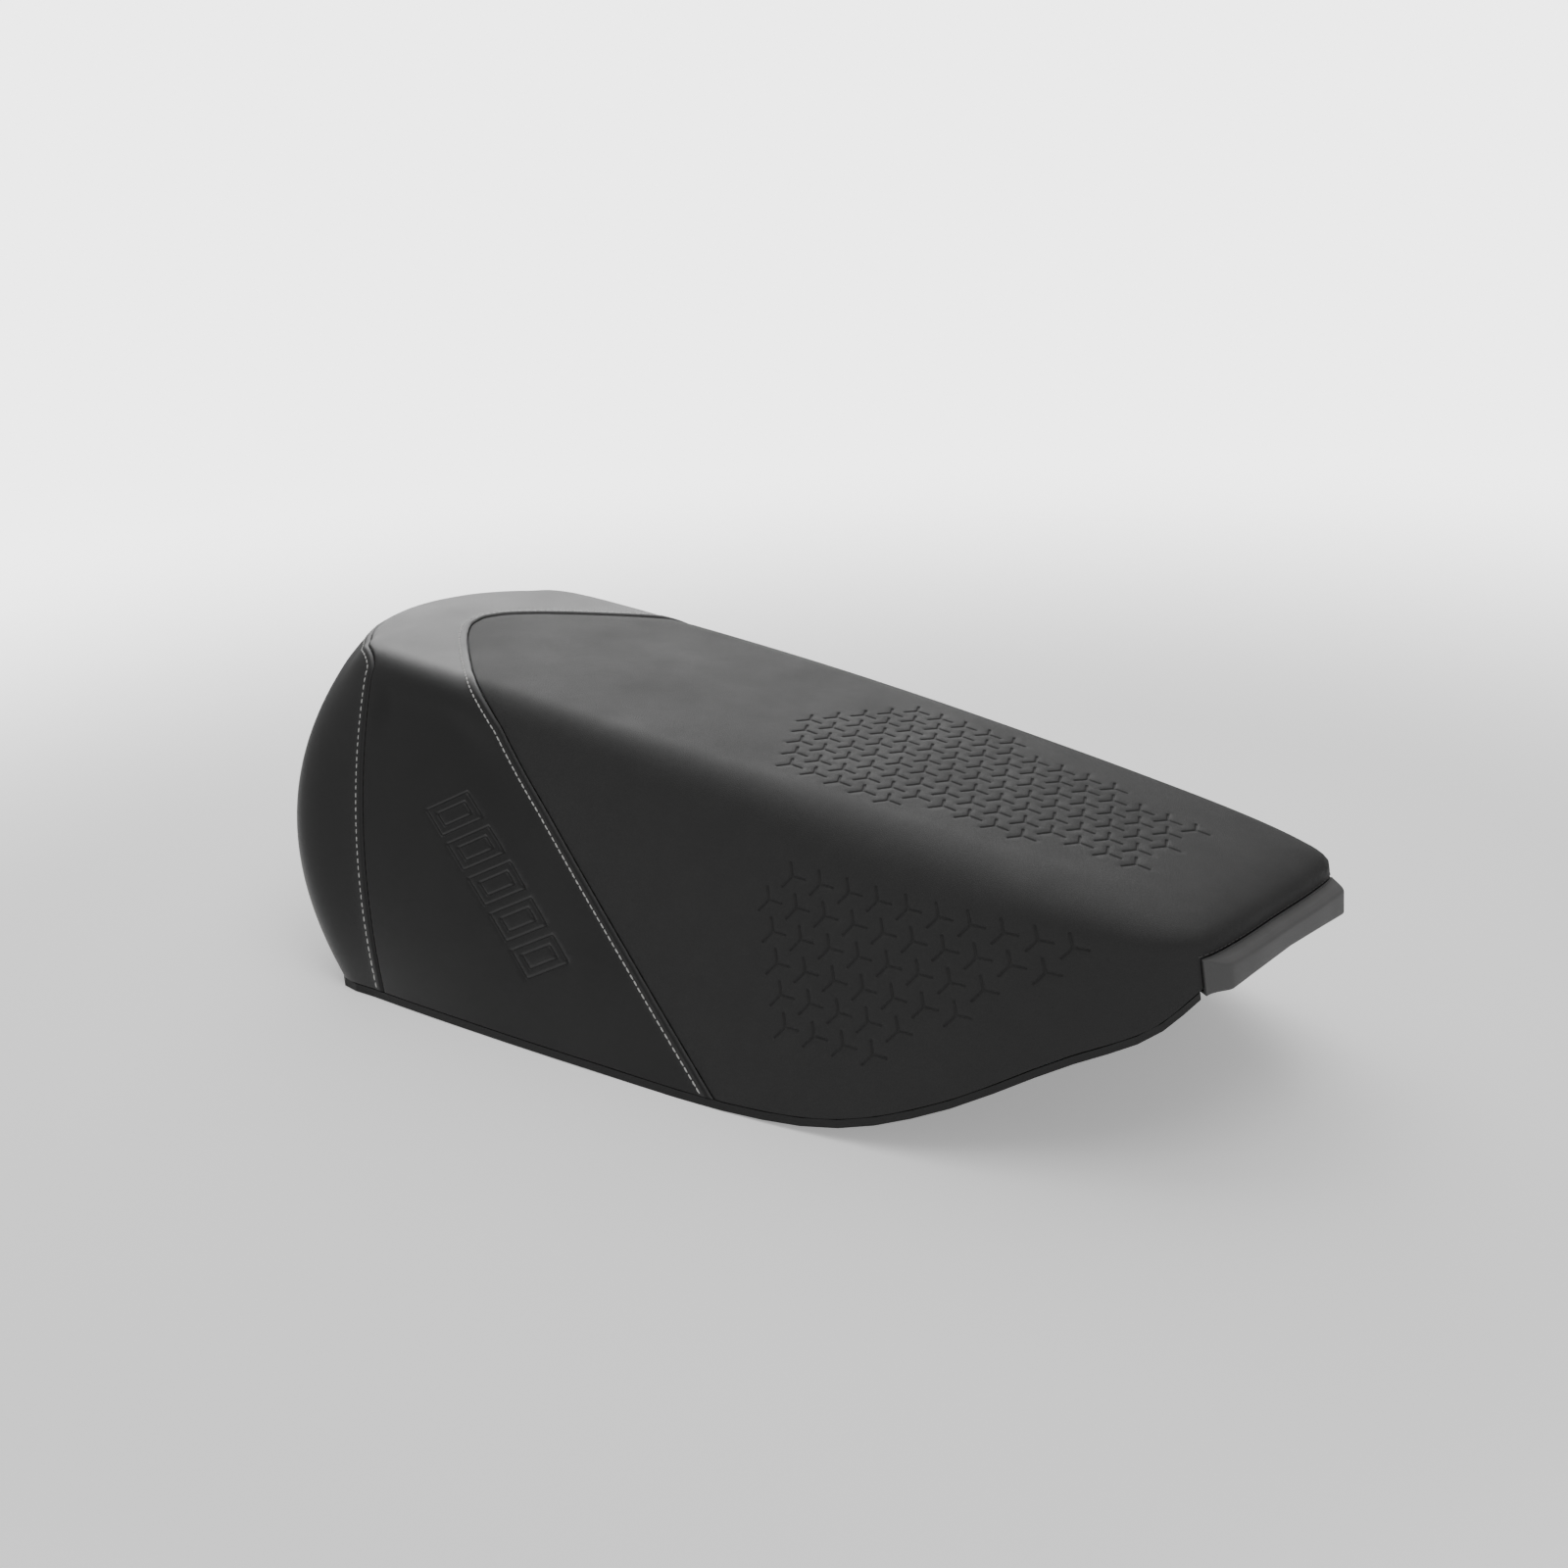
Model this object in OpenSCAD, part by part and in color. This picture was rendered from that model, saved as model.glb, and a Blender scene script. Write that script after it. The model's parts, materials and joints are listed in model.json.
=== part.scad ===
// Motorcycle seat: stitched cover panels over foam on a moulded base pan.
// +X points to the front of the motorcycle, +Z up, origin under the middle of the seat.

/* [Outer form] */
// Height of the flat seating plane above the bottom edge, at the middle
plane_h = 143.6; // [135:1:150]
// Slope of the seating plane, down towards the front
slope_deg = 5.9; // [5:0.1:7]
// Crown of the seating surface at the shoulders
crown = 2; // [0:0.5:4]
// Rise of the seating surface over the flat plane, at mid length
arch = 5; // [3:0.5:6]

/* [Layers] */
// Thickness of the cover material with its backing
cover_t = 1.5; // [1:0.1:2]
// Thickness of the rain liner
liner_t = 0.6; // [0.4:0.1:1]
// Depth of the base pan under the seating plane
pan_depth = 42; // [38:1:48]
// Foam thickness on the sides
side_foam = 14; // [12:1:16]
// Wall of the base pan
pan_t = 3; // [2.5:0.5:4]
// Height of the edge trim
trim_h = 3.4; // [3:0.2:5]

/* [Hardware] */
// Radius of the bore in the threaded inserts, an M6 thread
insert_r = 2.5; // [2.5:0.1:3.3]
// Length of the threaded inserts
insert_len = 10; // [8:1:12]
// Radius of the latch striker pin
striker_r = 4; // [3.5:0.5:5]
// Radius of the rubber buffers
buffer_r = 12; // [10:1:14]
// Thickness of the front tongue
tongue_t = 3; // [2.5:0.5:4]

/* [Hidden] */
$fn = 48;

gap = 0.3;                                   // clearance between layers
slope = tan(slope_deg);
spine_end = 236;                             // half length of the middle line that the ribs start from
top_back = -200;                             // where layers shrink towards, at the rear of the top
foot_back = -120;                            // and at the rear of the bottom edge
arch_x = -30;                                // middle of the arch
arch_half = 260;                             // and half its length
lip_top = 1.5;                               // rib position of the lip's upper seam
rear_top = 0.93;                             // rib position of the rear seam across the top
rear_rib = 10;                               // rib that the rear seam follows down the side
lip_rib = 2;                                 // rib at which the front lip ends
lip_out = 7;                                 // how far the lip stands out in front of the covers
seam_nose = -253;                            // rearmost point of the grip seam, on the middle line
seam_r = 35;                                 // its roundness there
seam_spread = 1.39;                          // and how fast it runs forward on the way out
seam_side_run = 1.1;                         // run counted for each mm down the side
soft_below = 0.62;                           // share of a rib's softness that lies below the shoulder
front_x = 140;                               // from here on the pan comes closer to the plane
front_run = 150;                             // over this length
front_rise = 0.62;                           // by this share of its depth
foot_shrink = 1.06;                          // layers shrink this much faster at the bottom edge
liner_d = cover_t + gap;
foam_d = liner_d + liner_t + gap;
pan_side = side_foam + gap;
hem_d = pan_side + pan_t + gap;

// Half outline, from the middle of the front to the middle of the rear. Each rib holds the
// shoulder corner x and y, the bottom edge x, y and z, the outward swell at mid height
// and the softness of the shoulder.
ribs = [
    [290, 0, 290, 0, 82, 0, 0.42],
    [290, 34, 290, 34, 82, 0, 0.42],
    [285, 58, 288, 57, 80, 0, 0.42],
    [262, 70, 272, 76, 63, 0, 0.4],
    [222, 77, 238, 95, 47, 0, 0.36],
    [170, 82, 190, 118, 22, 0, 0.32],
    [110, 84, 140, 132, 5, 0, 0.26],
    [40, 85, 80, 141, 0, 0, 0.2],
    [-40, 86, 0, 146, 0, 0, 0.17],
    [-120, 85, -80, 149, 0, 0, 0.15],
    [-218, 82, -155, 150, 0, 9, 0.14],
    [-245, 65, -193, 147, 0, 34, 0.15],
    [-264, 41, -215, 110, 0, 37, 0.16],
    [-272, 18, -223, 52, 0, 40, 0.16],
    [-274, 0, -225, 0, 0, 40, 0.16]
];
last = len(ribs) - 1;
flip = [1, -1, 1, -1, 1, 1, 1];

function clamp(v, low, high) = min(max(v, low), high);
function rib_at(i) = i < 0 ? [for (k = [0:6]) ribs[-i][k] * flip[k]]
    : i > last ? [for (k = [0:6]) ribs[2 * last - i][k] * flip[k]] : ribs[i];
function spline(a, b, c, d, t) = b + 0.5 * t * (c - a + t * (2 * a - 5 * b + 4 * c - d
    + t * (3 * (b - c) + d - a)));
function rib(s) = let (i = min(floor(s), last - 1))
    spline(rib_at(i - 1), rib_at(i), rib_at(i + 1), rib_at(i + 2), s - i);
function plane_z(x) = plane_h - slope * x;
function bend(p, q, r, t) = (1 - t) * (1 - t) * p + 2 * t * (1 - t) * q + t * t * r;

// Depth under the plane at x: the soft layers arch over the plane, and the deep ones come
// closer to it at the thin front
function depth_at(x, d) = d < 20 ? d - arch * (1 - pow((x - arch_x) / arch_half, 2))
    : d - front_rise * pan_depth * clamp((x - front_x) / front_run, 0, 1);
function inward(p, d, back) = let (v = [clamp(p.x, back, spine_end) - p.x, -p.y], n = norm(v))
    [p.x, p.y] + v / n * min(d, n - 0.5);

// A point on a rib, dt under the seating plane and ds inside the side. w runs 0 to 1 from the
// middle line to the shoulder and 1 to 2 from there down to the bottom edge.
function crown_at(dt) = dt > 20 ? 0 : crown;
function flare_of(r) = let (v = [r[0] - clamp(r[0], top_back, spine_end), r[1]])
    [r[2] - r[0], r[3] - r[1]] * v / norm(v) / (plane_z(r[0]) - r[4]);
function corner(r, dt, ds) = let (f = flare_of(r), d = depth_at(r[0], dt),
    q = inward([r[0], r[1]], ds * sqrt(1 + f * f) - f * d, top_back))
    [q.x, q.y, plane_z(q.x) - crown_at(dt) - d];
function foot(r, ds, up) = let (k = up / (plane_z(r[0]) - r[4]),
    q = inward([r[2] + (r[0] - r[2]) * k, r[3] + (r[1] - r[3]) * k], ds * foot_shrink, foot_back))
    [q.x, q.y, r[4] + up];
function middle(r, dt) = let (x = clamp(r[0], -spine_end, spine_end))
    [x, 0, plane_z(x) - depth_at(x, dt)];
function swell_of(r) = let (v = [r[0] - foot_back, r[1], 0]) 2 * r[5] * v / norm(v);
function skirt(r, dt, ds, up, t) = let (a = corner(r, dt, ds), b = foot(r, ds, up))
    bend(a, (a + b) / 2 + swell_of(r), b, t);
function flat_top(r, dt, ds, w) = let (a = middle(r, dt), b = corner(r, dt, ds))
    a + (b - a) * w + [0, 0, crown_at(dt) * w * (1 - w)];
function form_at(s, w, dt, ds, up) = let (r = rib(s), soft = r[6], low = 1 - soft,
    high = 1 + soft_below * soft)
    w <= low ? flat_top(r, dt, ds, w)
    : w >= high ? skirt(r, dt, ds, up, w - 1)
    : bend(flat_top(r, dt, ds, low), corner(r, dt, ds), skirt(r, dt, ds, up, high - 1),
        (w - low) / (high - low));

// The curved seam between the grip panel and the shoulder panel, as x over the distance
// from the middle line measured over the form
function grip_seam_x(run) = seam_nose + norm([seam_r, seam_spread * run]);
function run_at(s, w) = let (p = form_at(s, w, 0, 0, 0), r = rib(s))
    w <= 1 ? p.y : r[1] + seam_side_run * (plane_z(p.x) - p.z);
function seam_gap(s, w) = form_at(s, w, 0, 0, 0).x - grip_seam_x(run_at(s, w));
function grip_seam_rib(w, low = 4, high = 12.5, n = 14) = let (m = (low + high) / 2)
    n == 0 ? m : seam_gap(m, w) > 0 ? grip_seam_rib(w, m, high, n - 1)
    : grip_seam_rib(w, low, m, n - 1);

top_rows = [0.08, 0.4, 0.7, 0.85, rear_top];
side_rows = [1, 1.07, 1.16, 1.3, lip_top, 1.75, 2];
rows = concat(top_rows, side_rows);
seam_rib = [for (w = rows) grip_seam_rib(w)];

// A shell between two depths of the form, [top depth, side depth] each. cols holds one list of
// rib positions for each row of w_list; negative positions lie on the right side. out lists
// blocks of cells left away, [first column, end column, first row, end row]. A ring closes on
// itself, and a cap closes the first row over the middle line.
function place(s, w, layer) = let (p = form_at(abs(s), w, layer[0], layer[1], trim_h + gap))
    [p.x, (s < 0 ? -1 : 1) * p.y, p.z];
module skin(cols, w_list, outer, inner, out = [], ring = false, cap = false) {
    n = len(cols[0]);
    m = len(w_list);
    cells = ring ? n : n - 1;
    function at(i, j) = j * n + i % n;
    function kept(i, j) = j >= 0 && j < m - 1 && (ring || (i >= 0 && i < cells))
        && [for (o = out) if (i >= o[0] && i < o[1] && j >= o[2] && j < o[3]) o] == [];
    function wall(a, b) = [[a, b, b + m * n], [a, b + m * n, a + m * n]];
    function twin(i) = ring ? (n - i) % n : n - 1 - i;
    half = floor(ring ? n / 2 : (n - 1) / 2);
    quads = concat(
        [for (j = [0:m - 2]) for (i = [0:cells - 1]) if (kept(i, j))
            [at(i, j), at(i + 1, j), at(i + 1, j + 1), at(i, j + 1)]],
        [for (i = [0:half - 1]) if (cap)
            [at(i, 0), at(twin(i), 0), at(twin(i + 1), 0), at(i + 1, 0)]]);
    faces = [for (q = quads) for (t = [[q[0], q[1], q[2]], [q[0], q[2], q[3]]])
        if (t[0] != t[1] && t[1] != t[2] && t[2] != t[0]) t];
    walls = [for (j = [0:m - 2]) for (i = [0:cells - 1]) if (kept(i, j)) each concat(
        kept(i, j + 1) ? [] : wall(at(i, j + 1), at(i + 1, j + 1)),
        kept(i, j - 1) || (cap && j == 0) ? [] : wall(at(i + 1, j), at(i, j)),
        ring || kept(i - 1, j) ? [] : wall(at(i, j), at(i, j + 1)),
        ring || kept(i + 1, j) ? [] : wall(at(i + 1, j + 1), at(i + 1, j)))];
    polyhedron([for (layer = [outer, inner]) for (j = [0:m - 1]) for (s = cols[j])
            place(s, w_list[j], layer)],
        concat(faces, [for (t = faces) [t[2] + m * n, t[1] + m * n, t[0] + m * n]], walls,
            cap && !ring ? wall(at(n - 1, 0), at(0, 0)) : []));
}
function steps(a, b, n) = [for (k = [0:n]) a + (b - a) * k / n];
function mirrored(list) = concat([for (k = [len(list) - 1:-1:1]) -list[k]], list);
function around(n) = concat(steps(0, last, n), [for (k = [n - 1:-1:1]) -last * k / n]);
module tub(outer, inner, w_list = tub_rows) {
    skin([for (w = w_list) around(26)], w_list, outer, inner, ring = true, cap = true);
}
tub_rows = [0.1, 0.5, 0.78, 0.9, 1, 1.1, 1.25, 1.5, 1.75, 2];
thin = function (d) [d, d];

// Cover panels
grip_cols = 10;                              // columns between the lip's end and the grip seam
lip_cols = 4;                                // columns over half the lip
lip_row = search(lip_top, rows)[0];
module grip_cover() color("#3c3c3c")
    skin([for (j = [0:len(rows) - 1]) mirrored(concat(steps(0, lip_rib, lip_cols),
            [for (k = [1:grip_cols]) lip_rib + (seam_rib[j] - lip_rib) * k / grip_cols]))],
        rows, thin(0), thin(cover_t), cap = true,
        out = [[grip_cols, grip_cols + 2 * lip_cols, lip_row, len(rows)]]);

side_cols = 5;                               // columns between the grip seam and the rear seam
back_cols = 6;                               // columns from there to the middle of the rear
function split_rib(w) = rear_rib + 1.4 * max(0, 1 - w / rear_top);
function shoulder_half(j) = concat(steps(seam_rib[j], split_rib(rows[j]), side_cols),
    [for (k = [1:back_cols]) split_rib(rows[j]) + (last - split_rib(rows[j])) * k / back_cols]);
module shoulder_cover() color("#1c1c1c")
    skin([for (j = [0:len(rows) - 1]) let (h = shoulder_half(j))
            concat(h, [for (k = [len(h) - 2:-1:0]) -h[k]])],
        rows, thin(0), thin(cover_t), cap = true,
        out = [[side_cols, side_cols + 2 * back_cols, len(top_rows) - 1, len(rows)]]);

function rear_half(start) = steps(start, last, 10);
function rear_span(start) = let (h = rear_half(start)) concat(h, [for (k = [9:-1:0]) -h[k]]);
rear_rows = concat([rear_top], side_rows);
module rear_cover() color("#222222")
    skin([for (w = rear_rows) rear_span(rear_rib)], rear_rows, thin(0), thin(cover_t));

module front_lip() color("#4a4a4a")
    skin([for (w = [0:2]) mirrored(steps(0, lip_rib, 8))], [lip_top, 1.75, 2], [0, -lip_out],
        thin(cover_t));

// Seam threads lie proud of the covers
thread_low = -0.05;
thread_high = -0.6;
thread_rows = concat([0.02], steps(0.1, 2, 30));
module grip_seam_thread() color("#c8c8c8")
    skin([for (w = thread_rows) let (s = grip_seam_rib(w)) [s + 0.05, s + 0.08]], thread_rows,
        thin(thread_high), thin(thread_low));
module rear_seam_thread() color("#b4b4b4") {
    down = steps(1, 2, 14);
    for (side = [1, -1])
        skin([for (w = down) side > 0 ? [rear_rib + 0.04, rear_rib + 0.07]
            : [-rear_rib - 0.07, -rear_rib - 0.04]], down, thin(thread_high), thin(thread_low));
    skin([for (w = [0, 1]) rear_span(rear_rib + 0.1)], [rear_top + 0.02, rear_top + 0.03],
        thin(thread_high), thin(thread_low));
}
module lip_seam_thread() color("#8c8c8c")
    skin([for (w = [0, 1]) mirrored(steps(0, lip_rib, 8))], [lip_top - 0.06, lip_top - 0.03],
        thin(thread_high), thin(thread_low));

// Layers under the covers
module rain_liner() color("#5f6f7a") tub(thin(liner_d), thin(liner_d + liner_t));

pad_len = 290;
pad_w = 104;
pad_t = 12;
pad_x = 0;
pad_drop = 0.4;                              // pad top under the foam's depth, where the arch adds room
module pad_outline(extra) {
    r = 30;
    for (x = [-1, 1]) for (y = [-1, 1])
        translate([x * (pad_len / 2 - r), y * (pad_w / 2 - r)]) circle(r + extra);
    square([pad_len + 2 * extra, pad_w - 2 * r], center = true);
    square([pad_len - 2 * r, pad_w + 2 * extra], center = true);
}
module on_plane(depth) translate([0, 0, plane_h - depth]) rotate([0, slope_deg, 0]) children();
module comfort_pad() color("#6aa7c8")
    on_plane(0) translate([pad_x, 0, -foam_d - pad_drop - pad_t])
        linear_extrude(pad_t) pad_outline(0);
module foam_core() color("#d8c48a") difference() {
    tub(thin(foam_d), [pan_depth - gap, side_foam]);
    on_plane(0) translate([pad_x, 0, -foam_d - pad_drop - pad_t - gap])
        linear_extrude(pad_t + 20) pad_outline(gap);
}

// Base pan: a tub with bosses on its underside
pan_under = pan_depth + pan_t;
boss_h = 14;
boss_r = 9;
insert_x = -175;                             // far enough forward for a bolt to pass the rear wall
insert_y = 42;
insert_out = 4.5;
buffer_spots = [[128, 44], [-70, 66]];
plate_size = [150, 96, 2];
plate_x = 20;
screw_r = 2.4;
bracket_x = -150;
bracket_size = [56, 52, 2.5];
tongue_boss = [58, 46];
tongue_x = 190;
tongue_z = 78;
tongue_screw_spots = [[-18, 14], [18, 14]];
module both_sides(spots) for (p = spots) for (y = [-1, 1]) translate([p.x, y * p.y]) children();
module four(x, y) for (i = [-1, 1]) for (j = [-1, 1]) translate([i * x, j * y]) children();
plate_screws = [plate_size.x / 2 - 10, plate_size.y / 2 - 9];
bracket_screws = [bracket_size.x / 2 - 8, bracket_size.y / 2 - 7];
module base_pan() color("#2b2b2d") difference() {
    union() {
        tub([pan_depth, pan_side], [pan_under, pan_side + pan_t]);
        on_plane(pan_under) {
            both_sides([[insert_x, insert_y]]) translate([0, 0, -boss_h])
                cylinder(r = boss_r, h = boss_h + 1);
            for (x = [-182, -108, 112]) translate([x - 1.25, -62, -9]) cube([2.5, 124, 10]);
        }
        translate([tongue_x - tongue_boss.x / 2, -tongue_boss.y / 2, tongue_z])
            cube([tongue_boss.x, tongue_boss.y, 11]);
    }
    on_plane(pan_under) {
        both_sides([[insert_x, insert_y]]) translate([0, 0, -boss_h - 1])
            cylinder(r = insert_out, h = insert_len + 1);
        both_sides(buffer_spots) translate([0, 0, -1]) cylinder(r = 4, h = pan_t + 2);
        both_sides(vent_spots) translate([0, 0, -1]) cylinder(r = 3, h = pan_t + 2);
        translate([plate_x, 0, -1]) four(plate_screws.x, plate_screws.y)
            cylinder(r = screw_r, h = pan_t + 2);
        translate([bracket_x, 0, -1]) four(bracket_screws.x, bracket_screws.y)
            cylinder(r = screw_r, h = pan_t + 2);
    }
    translate([tongue_x, 0, tongue_z - 1]) both_sides(tongue_screw_spots)
        cylinder(r = screw_r, h = 9);
}

// Trim and hem along the bottom edge
trim_cols = concat(steps(lip_rib + 0.1, last, 34),
    [for (k = [33:-1:0]) -(lip_rib + 0.1 + (last - lip_rib - 0.1) * k / 34)]);
function trim_point(s, d, z) = let (p = foot(rib(abs(s)), d, z)) [p.x, sign(s) * p.y, p.z];
module edge_trim() color("#606060") {
    n = len(trim_cols);
    polyhedron([for (s = trim_cols) each [trim_point(s, 0, 0), trim_point(s, 0, trim_h),
            trim_point(s, hem_d + 2, trim_h), trim_point(s, hem_d + 2, 0)]],
        concat([for (i = [0:n - 2]) for (k = [0:3]) each let (a = 4 * i + k,
                b = 4 * i + (k + 1) % 4) [[b, b + 4, a + 4], [b, a + 4, a]]],
            [[2, 1, 0], [3, 2, 0]],
            [for (t = [[0, 1, 2], [0, 2, 3]]) [for (k = t) 4 * (n - 1) + k]]));
}
hem_rows = [1.8, 1.9, 2];
module cover_hem() color("#262626")
    skin([for (w = hem_rows) around(26)], hem_rows, [pan_under + 3, hem_d],
        [pan_under + 4, hem_d + cover_t], ring = true);
module hem_staples() color("#b8b8b8")
    for (k = [0:21]) for (side = [-1, 1]) let (s = 3.2 + 0.48 * k,
            p = place(side * s, 1.92, [pan_under + 4, hem_d + cover_t + 0.4]),
            q = place(side * (s + 0.05), 1.92, [pan_under + 4, hem_d + cover_t + 0.4]))
        translate(p) rotate(atan2(q.y - p.y, q.x - p.x)) cube([10, 0.7, 1.2], center = true);

// Hardware under the pan
module screw(head_r, head_h, length) {
    translate([0, 0, -head_h]) cylinder(r = head_r, h = head_h);
    translate([0, 0, -0.01]) cylinder(r = screw_r - 0.1, h = length);
}
module stiffener_plate() color("#9a9a9a") on_plane(pan_under) translate([plate_x, 0, -plate_size.z])
    difference() {
        translate([-plate_size.x / 2, -plate_size.y / 2, 0]) cube(plate_size);
        translate([0, 0, -1]) {
            four(plate_screws.x, plate_screws.y) cylinder(r = screw_r, h = 4);
            for (x = [-40, 0, 40]) translate([x, 0, 0]) cylinder(r = 15, h = 4);
        }
    }
module stiffener_screws() color("#c0c0c0") on_plane(pan_under)
    translate([plate_x, 0, -plate_size.z]) four(plate_screws.x, plate_screws.y) screw(4.6, 2.6, 4.6);

ear_h = 30;
ear_gap = 30;
ear_t = 3;
striker_z = -22;
module latch_bracket() color("#8a8a8a") on_plane(pan_under) translate([bracket_x, 0, 0])
    difference() {
        union() {
            translate([-bracket_size.x / 2, -bracket_size.y / 2, -bracket_size.z])
                cube(bracket_size);
            for (y = [-1, 1]) translate([0, y * (ear_gap + ear_t) / 2, 0]) rotate([90, 0, 0])
                linear_extrude(ear_t, center = true) {
                    translate([-14, striker_z]) square([28, -striker_z]);
                    translate([0, striker_z]) circle(9);
                    translate([-9, striker_z]) square([18, 8]);
                }
        }
        translate([0, 0, striker_z]) rotate([90, 0, 0]) cylinder(r = striker_r, h = 60, center = true);
        translate([0, 0, -5]) four(bracket_screws.x, bracket_screws.y) cylinder(r = screw_r, h = 9);
    }
module latch_screws() color("#c0c0c0") on_plane(pan_under) translate([bracket_x, 0, -bracket_size.z])
    four(bracket_screws.x, bracket_screws.y) screw(4.6, 2.8, 5);
striker_len = ear_gap + 2 * ear_t + 10;
module latch_striker() color("#d0d0d0") on_plane(pan_under) translate([bracket_x, 0, striker_z])
    rotate([90, 0, 0]) cylinder(r = striker_r - 0.02, h = striker_len, center = true);
module striker_clips() color("#b0b0b0") on_plane(pan_under) translate([bracket_x, 0, striker_z])
    for (y = [-1, 1]) translate([0, y * (striker_len / 2 - 2.5), 0]) rotate([90, 0, 0])
        difference() {
            cylinder(r = striker_r + 3, h = 1.4, center = true);
            cylinder(r = striker_r, h = 3, center = true);
        }

module rubber_buffers() color("#1a1a1a") on_plane(pan_under) both_sides(buffer_spots)
    rotate_extrude() polygon([[0, -13], [buffer_r - 3, -13], [buffer_r - 1, -11.5],
        [buffer_r, -3], [buffer_r, 0], [3.8, 0], [3.8, pan_t - 0.2], [0, pan_t - 0.2]]);

module threaded_inserts() color("#c9a24a") on_plane(pan_under) both_sides([[insert_x, insert_y]])
    translate([0, 0, -boss_h]) difference() {
        cylinder(r = insert_out - 0.02, h = insert_len);
        translate([0, 0, -1]) cylinder(r = insert_r, h = insert_len + 2);
    }

tongue_w = 40;
tongue_len = 96;
tongue_land = [28, 28, 0.4];                 // raised flat near the tip, clear of the boss
tongue_land_x = 60;
module front_tongue() color("#a0a0a0") translate([tongue_x - tongue_boss.x / 2, 0, tongue_z - tongue_t])
    difference() {
        union() {
            linear_extrude(tongue_t) {
                translate([0, -tongue_w / 2]) square([tongue_len - 12, tongue_w]);
                translate([0, -tongue_w / 2 + 12]) square([tongue_len, tongue_w - 24]);
                for (y = [-1, 1]) translate([tongue_len - 12, y * (tongue_w / 2 - 12)]) circle(12);
            }
            translate([tongue_land_x, -tongue_land.y / 2, tongue_t - 1])
                cube([tongue_land.x, tongue_land.y, tongue_land.z + 1]);
        }
        translate([tongue_boss.x / 2, 0, -1]) both_sides(tongue_screw_spots)
            cylinder(r = screw_r, h = tongue_t + 2);
    }
module tongue_screws() color("#c0c0c0") translate([tongue_x, 0, tongue_z - tongue_t])
    both_sides(tongue_screw_spots) screw(4.6, 2.8, 10);

vent_spots = [[70, 58], [-120, 62]];
module vent_plugs() color("#3f3f42") on_plane(pan_under) both_sides(vent_spots)
    translate([0, 0, -2.4]) difference() {
        cylinder(r = 7, h = 2.3);
        translate([0, 0, -1]) cylinder(r = 3, h = 5);
    }

strap_y = 20;
module strap_hooks() color("#303032") on_plane(pan_under) for (x = [-84, -66])
    translate([x - 2, -strap_y - 6, -8]) difference() {
        cube([4, 2 * strap_y + 12, 7.8]);
        for (y = [6, 2 * strap_y]) translate([-1, y, 3]) cube([6, 6, 3]);
    }
module document_strap() color("#161616") on_plane(pan_under)
    translate([-84, -strap_y, -11.5]) cube([18, 2 * strap_y, 3]);

grip_cover();
shoulder_cover();
rear_cover();
front_lip();
grip_seam_thread();
rear_seam_thread();
lip_seam_thread();
rain_liner();
comfort_pad();
foam_core();
base_pan();
edge_trim();
cover_hem();
hem_staples();
stiffener_plate();
stiffener_screws();
latch_bracket();
latch_screws();
latch_striker();
striker_clips();
rubber_buffers();
threaded_inserts();
front_tongue();
tongue_screws();
vent_plugs();
strap_hooks();
document_strap();
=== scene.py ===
import json
import math
import bpy
import numpy as np
from mathutils import Matrix, Vector
from mathutils.geometry import delaunay_2d_cdt


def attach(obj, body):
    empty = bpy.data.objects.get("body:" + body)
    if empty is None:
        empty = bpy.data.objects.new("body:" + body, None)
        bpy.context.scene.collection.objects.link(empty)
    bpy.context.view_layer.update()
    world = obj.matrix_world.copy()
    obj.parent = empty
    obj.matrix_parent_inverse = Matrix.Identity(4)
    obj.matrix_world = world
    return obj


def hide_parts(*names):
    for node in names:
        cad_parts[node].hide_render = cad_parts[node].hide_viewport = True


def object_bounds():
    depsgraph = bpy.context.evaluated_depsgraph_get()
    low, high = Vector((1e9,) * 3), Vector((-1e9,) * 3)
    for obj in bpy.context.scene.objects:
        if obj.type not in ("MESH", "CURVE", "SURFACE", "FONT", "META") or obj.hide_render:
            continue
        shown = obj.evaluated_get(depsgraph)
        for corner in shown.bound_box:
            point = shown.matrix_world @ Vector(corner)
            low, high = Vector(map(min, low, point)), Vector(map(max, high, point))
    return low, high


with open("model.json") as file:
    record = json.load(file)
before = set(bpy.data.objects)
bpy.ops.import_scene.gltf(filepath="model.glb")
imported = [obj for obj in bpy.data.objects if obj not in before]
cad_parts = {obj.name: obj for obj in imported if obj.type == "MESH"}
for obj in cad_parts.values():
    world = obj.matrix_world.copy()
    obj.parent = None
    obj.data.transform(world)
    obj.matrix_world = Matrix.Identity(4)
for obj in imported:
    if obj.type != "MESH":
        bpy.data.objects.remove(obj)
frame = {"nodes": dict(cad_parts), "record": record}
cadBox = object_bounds()
mm = 0.001
print("frame loaded:", len(frame["nodes"]), "nodes")

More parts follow.
